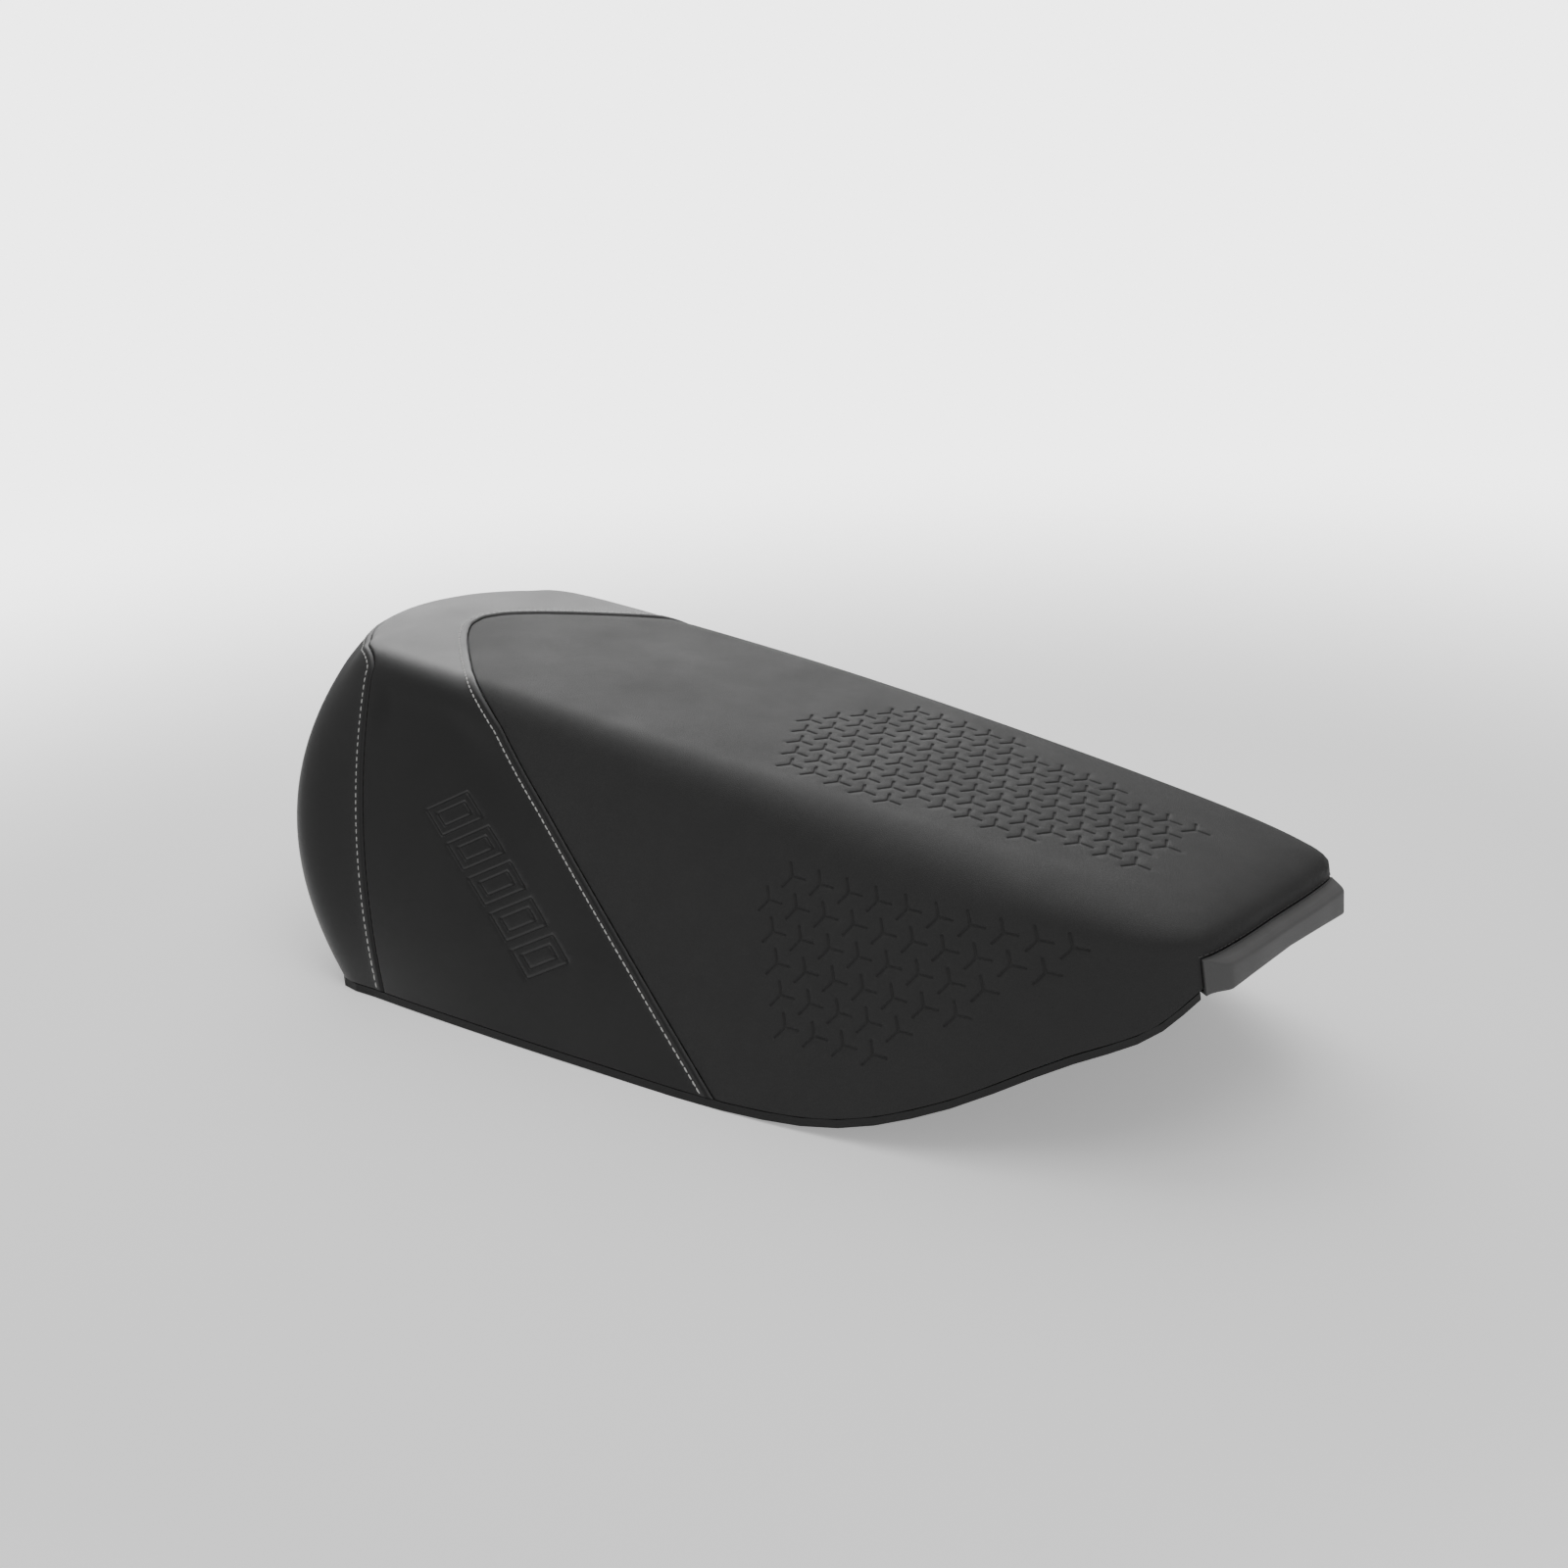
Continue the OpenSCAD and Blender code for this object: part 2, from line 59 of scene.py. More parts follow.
# the seat's form, in mm: +X to the front, +Z up
seatForm = {
    "planeHeight": 143.6,                     # seating plane over the bottom edge, at the middle
    "slope": math.tan(math.radians(5.9)),
    "crown": 2.0,
    "arch": 5.0,                              # rise of the soft layers at mid length, over the plane
    "archMiddle": -30.0,
    "archHalf": 260.0,
    "spineEnd": 236.0,                        # half length of the middle line the ribs start from
    "topBack": -200.0,
    "footBack": -120.0,
    "edgeLift": 3.7,                          # the covers stop this far above the bottom edge
    "lastRib": 14,
    # shoulder corner x y, bottom edge x y z, swell at mid height, softness of the shoulder
    "ribs": [
        [290, 0, 290, 0, 82, 0, 0.42],
        [290, 34, 290, 34, 82, 0, 0.42],
        [285, 58, 288, 57, 80, 0, 0.42],
        [262, 70, 272, 76, 63, 0, 0.4],
        [222, 77, 238, 95, 47, 0, 0.36],
        [170, 82, 190, 118, 22, 0, 0.32],
        [110, 84, 140, 132, 5, 0, 0.26],
        [40, 85, 80, 141, 0, 0, 0.2],
        [-40, 86, 0, 146, 0, 0, 0.17],
        [-120, 85, -80, 149, 0, 0, 0.15],
        [-218, 82, -155, 150, 0, 9, 0.14],
        [-245, 65, -193, 147, 0, 34, 0.15],
        [-264, 41, -215, 110, 0, 37, 0.16],
        [-272, 18, -223, 52, 0, 40, 0.16],
        [-274, 0, -225, 0, 0, 40, 0.16],
    ],
}
lastRib = seatForm["lastRib"]
spineEnd = seatForm["spineEnd"]
mirrored = np.array([1, -1, 1, -1, 1, 1, 1])
ribTable = np.array(seatForm["ribs"], float)
ribTable = np.vstack([ribTable[1] * mirrored, ribTable, ribTable[-2] * mirrored])


def ribAt(s):
    # a curve through the ribs, which runs on into its own mirror image at both ends
    i = np.clip(np.floor(s), 0, lastRib - 1).astype(int)
    t = (s - i)[..., None]
    a, b, c, d = (ribTable[i + k] for k in range(4))
    return b + 0.5 * t * (c - a + t * (2 * a - 5 * b + 4 * c - d + t * (3 * (b - c) + d - a)))


def planeZ(x):
    return seatForm["planeHeight"] - seatForm["slope"] * x


def depthAt(x, depth):
    # the soft layers arch over the plane, and the deep ones come nearer to it at the thin front
    if depth < 20:
        return depth - seatForm["arch"] * (1 - ((x - seatForm["archMiddle"]) / seatForm["archHalf"]) ** 2)
    return depth - 26.04 * np.clip((x - 140) / 150, 0, 1)


def inward(x, y, distance, back):
    vx, vy = np.clip(x, back, spineEnd) - x, -y
    n = np.maximum(np.hypot(vx, vy), 1e-6)
    k = np.minimum(distance, n - 0.5) / n
    return x + vx * k, y + vy * k


def bend(p, q, r, t):
    return (1 - t) ** 2 * p + 2 * t * (1 - t) * q + t * t * r


def seatPoint(s, w, top=0.0, side=0.0, up=None):
    # s runs along the outline, negative on the right; w is 0 at the middle, 1 at the shoulder, 2 at the edge
    s, w = np.broadcast_arrays(np.asarray(s, float), np.asarray(w, float))
    up = seatForm["edgeLift"] if up is None else up
    kx, ky, bx, by, bz, swell, soft = np.moveaxis(ribAt(np.abs(s)), -1, 0)
    crown = 0 if top > 20 else seatForm["crown"]
    ex = kx - np.clip(kx, seatForm["topBack"], spineEnd)
    flare = ((bx - kx) * ex + (by - ky) * ky) / np.maximum(np.hypot(ex, ky), 1e-6) / (planeZ(kx) - bz)
    depth = depthAt(kx, top)
    qx, qy = inward(kx, ky, side * np.sqrt(1 + flare ** 2) - flare * depth, seatForm["topBack"])
    corner = np.stack([qx, qy, planeZ(qx) - crown - depth], -1)
    lift = up / (planeZ(kx) - bz)
    fx, fy = inward(bx + (kx - bx) * lift, by + (ky - by) * lift, side * 1.06, seatForm["footBack"])
    foot = np.stack([fx, fy, bz + up], -1)
    mx = np.clip(kx, -spineEnd, spineEnd)
    middle = np.stack([mx, 0 * mx, planeZ(mx) - depthAt(mx, top)], -1)
    ox, oy = kx - seatForm["footBack"], ky                # the rear swells away from this middle
    push = 2 * swell / np.hypot(ox, oy)
    pull = (corner + foot) / 2 + np.stack([push * ox, push * oy, 0 * push], -1)
    w, low, high = w[..., None], (1 - soft)[..., None], (1 + 0.62 * soft)[..., None]

    def onTop(t):
        return middle + (corner - middle) * t + np.array([0, 0, crown]) * t * (1 - t)

    rounded = bend(onTop(low), corner, bend(corner, pull, foot, high - 1), (w - low) / (high - low))
    p = np.where(w <= low, onTop(w), np.where(w >= high, bend(corner, pull, foot, w - 1), rounded))
    p[..., 1] *= np.where(s < 0, -1, 1)
    return p


# the flat pattern: the top as it lies, the sides folded out round it
ribSteps = np.linspace(0, lastRib, 1401)
ribLine = ribAt(ribSteps)
frontSteps = ribLine[:, 0] >= spineEnd
rearSteps = ribLine[:, 0] <= -spineEnd
frontAngles = np.arctan2(ribLine[:, 1], ribLine[:, 0] - spineEnd)
rearAngles = np.arctan2(ribLine[:, 1], -spineEnd - ribLine[:, 0])
dropTable = np.linalg.norm(seatPoint(ribSteps, 2.0) - seatPoint(ribSteps, 1.0), axis=-1)


def patternToRib(x, y):
    side = np.abs(y)
    s = np.interp(-x, -ribLine[:, 0], ribSteps)
    front = np.interp(np.arctan2(side, x - spineEnd), frontAngles[frontSteps], ribSteps[frontSteps])
    rear = np.interp(np.arctan2(side, -spineEnd - x), rearAngles[rearSteps][::-1], ribSteps[rearSteps][::-1])
    s = np.where(x > spineEnd, front, np.where(x < -spineEnd, rear, s))
    r = ribAt(s)
    reach = np.hypot(r[..., 0] - np.clip(r[..., 0], -spineEnd, spineEnd), r[..., 1])
    out = np.hypot(x - np.clip(x, -spineEnd, spineEnd), side)
    drop = np.interp(s, ribSteps, dropTable)
    w = np.where(out <= reach, out / reach, 1 + (out - reach) / drop)
    return np.where(y < 0, -s, s), w


def ribToPattern(s, w):
    s, w = np.broadcast_arrays(np.asarray(s, float), np.asarray(w, float))
    r = ribAt(np.abs(s))
    mx = np.clip(r[..., 0], -spineEnd, spineEnd)
    vx, vy = r[..., 0] - mx, r[..., 1]
    reach = np.maximum(np.hypot(vx, vy), 1e-6)
    out = np.where(w <= 1, reach * w, reach + (w - 1) * np.interp(np.abs(s), ribSteps, dropTable))
    return np.stack([mx + vx / reach * out, vy / reach * out * np.where(s < 0, -1, 1)], -1)


def coverAt(x, y, depth=0.0):
    # place and outward normal of a pattern point, depth mm under the cover's surface
    s, w = patternToRib(x, y)
    h = 0.4
    alongX = seatPoint(*patternToRib(x + h, y)) - seatPoint(*patternToRib(x - h, y))
    alongY = seatPoint(*patternToRib(x, y + h)) - seatPoint(*patternToRib(x, y - h))
    normal = np.cross(alongX, alongY)
    normal /= np.maximum(np.linalg.norm(normal, axis=-1, keepdims=True), 1e-9)
    return seatPoint(s, w) - np.asarray(depth)[..., None] * normal, normal

# seams
gripSeam = {"nose": -253.0, "radius": 35.0, "spread": 1.39, "sideRun": 1.1,
            "knots": (0.012, 0.15, 0.3, 0.45, 0.6, 0.72, 0.8, 1.2, 1.3, 1.45, 1.6, 1.8, 2.0)}
rearSeam = {"rib": 10.0, "top": 0.93, "turn": (0.35, 0.1)}
lipSeam = {"rib": 2.0, "top": 1.5}


def gripSeamRib(w):
    # the rib position where the U shaped seam crosses level w
    w = np.asarray(w, float)
    low, high = np.full(w.shape, 4.0), np.full(w.shape, 12.5)
    for _ in range(30):
        s = (low + high) / 2
        p, r = seatPoint(s, w, up=0), ribAt(s)
        run = np.where(w <= 1, p[..., 1], r[..., 1] + gripSeam["sideRun"] * (planeZ(p[..., 0]) - p[..., 2]))
        ahead = p[..., 0] > gripSeam["nose"] + np.hypot(gripSeam["radius"], gripSeam["spread"] * run)
        low, high = np.where(ahead, s, low), np.where(ahead, high, s)
    return (low + high) / 2


# camera and light
shot = {"place": (0.7169, -0.8050, 0.4712), "azimuth": 40.417, "elevation": 21.222, "tilt": 3.84, "lens": 50}
studio = {
    "backdrop": 4.0, "fill": 0.4, "floorGlow": 0.35, "floorSolid": 0.45, "floorGone": 1.5,
    "overhead": {"size": (1.6, 1.1), "power": 7, "place": (-0.35, 0.25, 1.15), "aim": (-0.12, 0, 0.1)},
    "front": {"size": (0.7, 0.7), "power": 3.2, "place": (0.62, -0.25, 1.3), "aim": (0.2, 0, 0.08)},
    "back": {"size": (1.4, 1.0), "power": 13, "place": (-1.25, 1.02, 0.8), "aim": (-0.2, 0, 0.16)},
}


def aimed(place, aim):
    turn = (Vector(aim) - Vector(place)).to_track_quat("-Z", "Y")
    return Matrix.Translation(place) @ turn.to_matrix().to_4x4()


camera = bpy.data.objects.new("camera", bpy.data.cameras.new("camera"))
camera.data.lens = shot["lens"]
camera.data.sensor_width = 36
look = (Matrix.Rotation(math.radians(shot["tilt"]), 4, "Y")
        @ Matrix.Rotation(math.radians(shot["azimuth"]), 4, "Z")
        @ Matrix.Rotation(math.radians(90 - shot["elevation"]), 4, "X"))
camera.matrix_world = Matrix.Translation(shot["place"]) @ look
bpy.context.collection.objects.link(camera)
bpy.context.scene.camera = camera

for name in ("overhead", "front", "back"):
    lamp = studio[name]
    light = bpy.data.lights.new(name, "AREA")
    light.shape = "RECTANGLE"
    light.size, light.size_y = lamp["size"]
    light.energy = lamp["power"]
    lampObject = bpy.data.objects.new(name, light)
    lampObject.matrix_world = aimed(lamp["place"], lamp["aim"])
    lampObject.visible_camera = False
    bpy.context.collection.objects.link(lampObject)

world = bpy.data.worlds.new("studio")
world.use_nodes = True
sky = world.node_tree
seen = sky.nodes.new("ShaderNodeLightPath").outputs["Is Camera Ray"]
level = sky.nodes.new("ShaderNodeMapRange")
level.inputs["To Min"].default_value = studio["fill"]
level.inputs["To Max"].default_value = studio["backdrop"]
sky.links.new(seen, level.inputs["Value"])
sky.nodes["Background"].inputs["Color"].default_value = (1, 1, 1, 1)
sky.links.new(level.outputs["Result"], sky.nodes["Background"].inputs["Strength"])
bpy.context.scene.world = world
print("camera and lights ready")


# shader groups, shared by the finishes
def newGroup(name, inputs, outputs):
    tree = bpy.data.node_groups.new(name, "ShaderNodeTree")
    for label, kind, value in inputs:
        socket = tree.interface.new_socket(label, in_out="INPUT", socket_type=kind)
        if value is not None:
            socket.default_value = value
    for label, kind in outputs:
        tree.interface.new_socket(label, in_out="OUTPUT", socket_type=kind)
    return tree, tree.nodes.new("NodeGroupInput"), tree.nodes.new("NodeGroupOutput")


def addNode(tree, kind, settings=(), **values):
    node = tree.nodes.new(kind)
    for key, value in dict(settings).items():
        setattr(node, key, value)
    for key, value in values.items():
        socket = node.inputs[int(key[1:])] if key[0] == "n" and key[1:].isdigit() else node.inputs[key]
        if isinstance(value, bpy.types.NodeSocket):
            tree.links.new(value, socket)
        else:
            socket.default_value = value
    return node


def mathNode(tree, operation, a, b=0.0):
    return addNode(tree, "ShaderNodeMath", {"operation": operation}, n0=a, n1=b).outputs[0]


def makeGrain():
    # pebbled skin of coated vinyl: small cells with soft creases between them, over a slow mottle
    tree, given, out = newGroup("vinylGrain", [
        ("Vector", "NodeSocketVector", None), ("Cell Scale", "NodeSocketFloat", 1400.0),
        ("Mottle Scale", "NodeSocketFloat", 22.0)],
        [("Height", "NodeSocketFloat"), ("Mottle", "NodeSocketFloat")])
    jitter = addNode(tree, "ShaderNodeTexNoise", Vector=given.outputs["Vector"], Scale=700.0, Detail=3.0)
    shift = addNode(tree, "ShaderNodeVectorMath", {"operation": "SCALE"}, n0=jitter.outputs["Color"],
                    Scale=0.0006)
    moved = addNode(tree, "ShaderNodeVectorMath", {"operation": "ADD"}, n0=given.outputs["Vector"],
                    n1=shift.outputs["Vector"])
    cells = addNode(tree, "ShaderNodeTexVoronoi", {"feature": "DISTANCE_TO_EDGE"},
                    Vector=moved.outputs["Vector"], Scale=given.outputs["Cell Scale"])
    crease = addNode(tree, "ShaderNodeMapRange", Value=cells.outputs["Distance"])
    crease.inputs["From Max"].default_value = 0.28
    mottle = addNode(tree, "ShaderNodeTexNoise", Vector=given.outputs["Vector"],
                     Scale=given.outputs["Mottle Scale"], Detail=4.0)
    fine = mathNode(tree, "MULTIPLY", jitter.outputs["Fac"], 0.35)
    tree.links.new(mathNode(tree, "ADD", crease.outputs["Result"], fine), out.inputs["Height"])
    tree.links.new(mottle.outputs["Fac"], out.inputs["Mottle"])
    return tree


def makeDustAndSheen():
    # a faint film that lies on faces that look up: partly dust, partly a painted highlight that makes those tops
    # lighter
    tree, given, out = newGroup("dustAndSheenFilm", [
        ("Vector", "NodeSocketVector", None), ("Amount", "NodeSocketFloat", 0.2)],
        [("Mask", "NodeSocketFloat")])
    lie = addNode(tree, "ShaderNodeNewGeometry")
    parts = addNode(tree, "ShaderNodeSeparateXYZ", Vector=lie.outputs["Normal"])
    # faces that look up get the most, so the tops are painted lighter as well as dusty
    faces = mathNode(tree, "MAXIMUM", parts.outputs["Z"], 0.0)
    specks = addNode(tree, "ShaderNodeTexNoise", Vector=given.outputs["Vector"], Scale=60.0, Detail=5.0)
    mask = mathNode(tree, "MULTIPLY", faces, specks.outputs["Fac"])
    tree.links.new(mathNode(tree, "MULTIPLY", mask, given.outputs["Amount"]), out.inputs["Mask"])
    return tree


def makeBrushing():
    # fine lines and stains on metal
    tree, given, out = newGroup("metalWear", [
        ("Vector", "NodeSocketVector", None), ("Line Scale", "NodeSocketFloat", 900.0)],
        [("Height", "NodeSocketFloat"), ("Stain", "NodeSocketFloat")])
    stretch = addNode(tree, "ShaderNodeMapping", Vector=given.outputs["Vector"])
    stretch.inputs["Scale"].default_value = (0.06, 1, 1)
    lines = addNode(tree, "ShaderNodeTexNoise", Vector=stretch.outputs["Vector"],
                    Scale=given.outputs["Line Scale"], Detail=2.0)
    stain = addNode(tree, "ShaderNodeTexNoise", Vector=given.outputs["Vector"], Scale=45.0, Detail=5.0)
    tree.links.new(lines.outputs["Fac"], out.inputs["Height"])
    tree.links.new(stain.outputs["Fac"], out.inputs["Stain"])
    return tree


vinylGrain, dustAndSheenFilm, metalWear = makeGrain(), makeDustAndSheen(), makeBrushing()


def placeGroup(tree, group, **values):
    node = tree.nodes.new("ShaderNodeGroup")
    node.node_tree = group
    for key, value in values.items():
        socket = node.inputs[key.replace("_", " ")]
        if isinstance(value, bpy.types.NodeSocket):
            tree.links.new(value, socket)
        else:
            socket.default_value = value
    return node


def newFinish(name):
    material = bpy.data.materials.new(name)
    material.use_nodes = True
    tree = material.node_tree
    return material, tree, tree.nodes["Principled BSDF"], tree.nodes.new("ShaderNodeTexCoord").outputs["Object"]


def colourRange(tree, factor, low, high):
    mix = addNode(tree, "ShaderNodeMix", {"data_type": "RGBA"})
    tree.links.new(factor, mix.inputs["Factor"])
    mix.inputs[6].default_value = (*low, 1)
    mix.inputs[7].default_value = (*high, 1)
    return mix.outputs[2]


def roughRange(tree, factor, low, high, shader):
    span = addNode(tree, "ShaderNodeMapRange", Value=factor)
    span.inputs["From Min"].default_value = 0.3
    span.inputs["From Max"].default_value = 0.7
    span.inputs["To Min"].default_value = low
    span.inputs["To Max"].default_value = high
    tree.links.new(span.outputs["Result"], shader.inputs["Roughness"])


def bumpInto(tree, height, strength, distance, shader):
    bump = addNode(tree, "ShaderNodeBump", Strength=strength, Distance=distance, Height=height)
    tree.links.new(bump.outputs["Normal"], shader.inputs["Normal"])


def vinyl(name, low, high, rough, cell, strength, dustAndSheen=0.1, shine=0.5):
    material, tree, shader, coords = newFinish(name)
    grain = placeGroup(tree, vinylGrain, Vector=coords, Cell_Scale=cell)
    dustSheenNode = placeGroup(tree, dustAndSheenFilm, Vector=coords, Amount=dustAndSheen)
    base = colourRange(tree, grain.outputs["Mottle"], low, high)
    dustSheenMix = addNode(tree, "ShaderNodeMix", {"data_type": "RGBA"})
    tree.links.new(dustSheenNode.outputs["Mask"], dustSheenMix.inputs["Factor"])
    tree.links.new(base, dustSheenMix.inputs[6])
    # the film colour, far lighter than the vinyl: dust, and a painted highlight on faces that look up
    dustSheenMix.inputs[7].default_value = (0.2, 0.195, 0.19, 1)
    tree.links.new(dustSheenMix.outputs[2], shader.inputs["Base Color"])
    roughRange(tree, grain.outputs["Mottle"], *rough, shader)
    bumpInto(tree, grain.outputs["Height"], strength, 0.00012, shader)
    shader.inputs["Specular IOR Level"].default_value = shine
    return material


def moulded(name, low, high, rough, cell, strength):
    material, tree, shader, coords = newFinish(name)
    grain = placeGroup(tree, vinylGrain, Vector=coords, Cell_Scale=cell, Mottle_Scale=35.0)
    tree.links.new(colourRange(tree, grain.outputs["Mottle"], low, high), shader.inputs["Base Color"])
    roughRange(tree, grain.outputs["Mottle"], *rough, shader)
    bumpInto(tree, grain.outputs["Height"], strength, 0.0001, shader)
    return material


def metal(name, low, high, rough, metallic=1.0, strength=0.15):
    material, tree, shader, coords = newFinish(name)
    wear = placeGroup(tree, metalWear, Vector=coords)
    tree.links.new(colourRange(tree, wear.outputs["Stain"], low, high), shader.inputs["Base Color"])
    roughRange(tree, wear.outputs["Stain"], *rough, shader)
    bumpInto(tree, wear.outputs["Height"], strength, 0.00005, shader)
    shader.inputs["Metallic"].default_value = metallic
    return material


def twistedThread(name, low, high):
    material, tree, shader, coords = newFinish(name)
    twist = addNode(tree, "ShaderNodeTexWave", Vector=coords, Scale=900.0, Distortion=1.5)
    tree.links.new(colourRange(tree, twist.outputs["Fac"], low, high),
                   shader.inputs["Base Color"])
    roughRange(tree, twist.outputs["Fac"], 0.55, 0.75, shader)
    bumpInto(tree, twist.outputs["Fac"], 0.5, 0.0001, shader)
    return material


def openFoam():
    material, tree, shader, coords = newFinish("seatFoam")
    cells = addNode(tree, "ShaderNodeTexVoronoi", Vector=coords, Scale=900.0)
    tree.links.new(colourRange(tree, cells.outputs["Distance"], (0.5, 0.42, 0.24), (0.8, 0.72, 0.5)),
                   shader.inputs["Base Color"])
    roughRange(tree, cells.outputs["Distance"], 0.9, 1.0, shader)
    bumpInto(tree, cells.outputs["Distance"], 0.7, 0.0005, shader)
    return material


def softGel():
    material, tree, shader, coords = newFinish("gelPad")
    cloud = addNode(tree, "ShaderNodeTexNoise", Vector=coords, Scale=40.0, Detail=3.0)
    tree.links.new(colourRange(tree, cloud.outputs["Fac"], (0.08, 0.26, 0.42), (0.14, 0.4, 0.58)),
                   shader.inputs["Base Color"])
    roughRange(tree, cloud.outputs["Fac"], 0.2, 0.4, shader)
    bumpInto(tree, cloud.outputs["Fac"], 0.3, 0.0004, shader)
    shader.inputs["Subsurface Weight"].default_value = 0.2
    shader.inputs["Subsurface Scale"].default_value = 0.004
    return material


finishes = {
    "grip_vinyl": vinyl("gripVinyl", (0.021, 0.021, 0.021), (0.027, 0.027, 0.027), (0.56, 0.64), 1500, 0.55,
                        shine=0.32),
    "smooth_vinyl": vinyl("smoothVinyl", (0.006, 0.006, 0.006), (0.009, 0.009, 0.009), (0.34, 0.42), 2600, 0.18,
                          dustAndSheen=0.04),
    "rear_vinyl": vinyl("rearVinyl", (0.009, 0.009, 0.009), (0.013, 0.013, 0.013), (0.4, 0.48), 2400, 0.2,
                        dustAndSheen=0.04),
    # the strong film paints the lip's up-facing ledge lighter than its face: painted highlight, with some dust
    "lip_vinyl": vinyl("lipVinyl", (0.085, 0.085, 0.085), (0.1, 0.1, 0.1), (0.5, 0.6), 2600, 0.15, dustAndSheen=0.4,
                       shine=0.25),
    "thread": twistedThread("thread", (0.42, 0.42, 0.41), (0.72, 0.72, 0.70)),
    "lip_thread": twistedThread("lipThread", (0.05, 0.05, 0.05), (0.12, 0.12, 0.12)),
    "liner_film": moulded("linerFilm", (0.26, 0.3, 0.34), (0.36, 0.4, 0.44), (0.3, 0.45), 300, 0.3),
    "gel_pad": softGel(),
    "seat_foam": openFoam(),
    "pan_plastic": moulded("panPlastic", (0.018, 0.018, 0.02), (0.03, 0.03, 0.032), (0.5, 0.65), 1100, 0.6),
    "trim_rubber": moulded("trimRubber", (0.006, 0.006, 0.006), (0.012, 0.012, 0.012), (0.5, 0.6), 1800, 0.2),
    "staple_steel": metal("stapleSteel", (0.55, 0.55, 0.54), (0.7, 0.7, 0.69), (0.25, 0.4)),
    "plate_steel": metal("plateSteel", (0.02, 0.02, 0.022), (0.045, 0.045, 0.048), (0.42, 0.58), metallic=0.0,
                         strength=0.3),
    "screw_zinc": metal("screwZinc", (0.5, 0.5, 0.46), (0.68, 0.68, 0.62), (0.28, 0.42)),
    "striker_steel": metal("strikerSteel", (0.68, 0.68, 0.69), (0.78, 0.78, 0.79), (0.1, 0.2), strength=0.08),
    "buffer_rubber": moulded("bufferRubber", (0.014, 0.014, 0.014), (0.026, 0.026, 0.026), (0.6, 0.78), 1300, 0.4),
    "insert_brass": metal("insertBrass", (0.6, 0.44, 0.18), (0.76, 0.58, 0.28), (0.22, 0.36)),
    "plug_plastic": moulded("plugPlastic", (0.03, 0.03, 0.033), (0.05, 0.05, 0.054), (0.42, 0.56), 1400, 0.3),
}
for part in frame["record"]["subparts"]:
    finish = finishes[part["material_slot"]]
    node = frame["nodes"][part["node"]]
    if node.data.materials:
        for slotIndex in range(len(node.material_slots)):
            node.material_slots[slotIndex].material = finish
    else:
        node.data.materials.append(finish)
print("finishes:", len(finishes))


# cutting cover panels from the flat pattern
def spread(line, step):
    # the same line with points at equal steps
    length = np.concatenate([[0], np.cumsum(np.linalg.norm(np.diff(line, axis=0), axis=-1))])
    at = np.linspace(0, length[-1], max(2, int(round(length[-1] / step)) + 1))
    return np.stack([np.interp(at, length, line[:, k]) for k in range(line.shape[1])], -1)


def ribLineAt(sFrom, sTo, wFrom, wTo, n=160):
    t = np.linspace(0, 1, n)
    return ribToPattern(sFrom + (sTo - sFrom) * t, wFrom + (wTo - wFrom) * t)


def throughKnots(at, knots, values):
    slope = np.gradient(values, knots)
    k = np.clip(np.searchsorted(knots, at) - 1, 0, len(knots) - 2)
    gap = knots[k + 1] - knots[k]
    t = (at - knots[k]) / gap
    return (values[k] * (1 + 2 * t) * (1 - t) ** 2 + values[k + 1] * t * t * (3 - 2 * t)
            + gap * t * (1 - t) * (slope[k] * (1 - t) - slope[k + 1] * t))


def gripSeamLine(n=240):
    # from the left bottom edge over the top to the right bottom edge, smooth over the shoulder
    knots = np.array(gripSeam["knots"])
    w = np.concatenate([np.linspace(2, knots[0], n), np.linspace(knots[0], 2, n)])
    line = ribToPattern(throughKnots(w, knots, gripSeamRib(knots)), w)
    line[n:, 1] *= -1
    return line


def joined(sections, step=1.6):
    return np.vstack([spread(section, step)[:-1] for section in sections])


def insetLoop(loop, distance):
    ahead = np.roll(loop, -1, 0) - np.roll(loop, 1, 0)
    ahead /= np.maximum(np.linalg.norm(ahead, axis=-1, keepdims=True), 1e-9)
    area = np.sum(loop[:, 0] * np.roll(loop[:, 1], -1) - np.roll(loop[:, 0], -1) * loop[:, 1])
    return loop + np.sign(area) * distance * np.stack([-ahead[:, 1], ahead[:, 0]], -1)


def insideLoop(points, loop):
    inside = np.zeros(len(points), bool)
    a, b = loop, np.roll(loop, -1, 0)
    for start in range(0, len(points), 4000):
        x, y = points[start:start + 4000, 0, None], points[start:start + 4000, 1, None]
        crosses = (a[:, 1] > y) != (b[:, 1] > y)
        rise = np.where(np.abs(b[:, 1] - a[:, 1]) < 1e-12, 1e-12, b[:, 1] - a[:, 1])
        inside[start:start + 4000] = (crosses & (x < (b[:, 0] - a[:, 0]) * (y - a[:, 1]) / rise + a[:, 0])).sum(1) % 2
    return inside


def nearest(points, line, chunk=3000):
    best = np.empty(len(points))
    for start in range(0, len(points), chunk):
        gap = points[start:start + chunk, None] - line[None]
        best[start:start + chunk] = np.sqrt((gap ** 2).sum(-1).min(1))
    return best


def smoothStep(low, high, value):
    t = np.clip((value - low) / (high - low), 0, 1)
    return t * t * (3 - 2 * t)


def makePiece(name, verts, faces, slotName, sharp=55):
    mesh = bpy.data.meshes.new(name)
    mesh.from_pydata((np.asarray(verts) * mm).tolist(), [], faces)
    mesh.polygons.foreach_set("use_smooth", [True] * len(mesh.polygons))
    mesh.set_sharp_from_angle(angle=math.radians(sharp))
    mesh.materials.append(finishes[slotName])
    piece = bpy.data.objects.new(name, mesh)
    bpy.context.collection.objects.link(piece)
    return piece


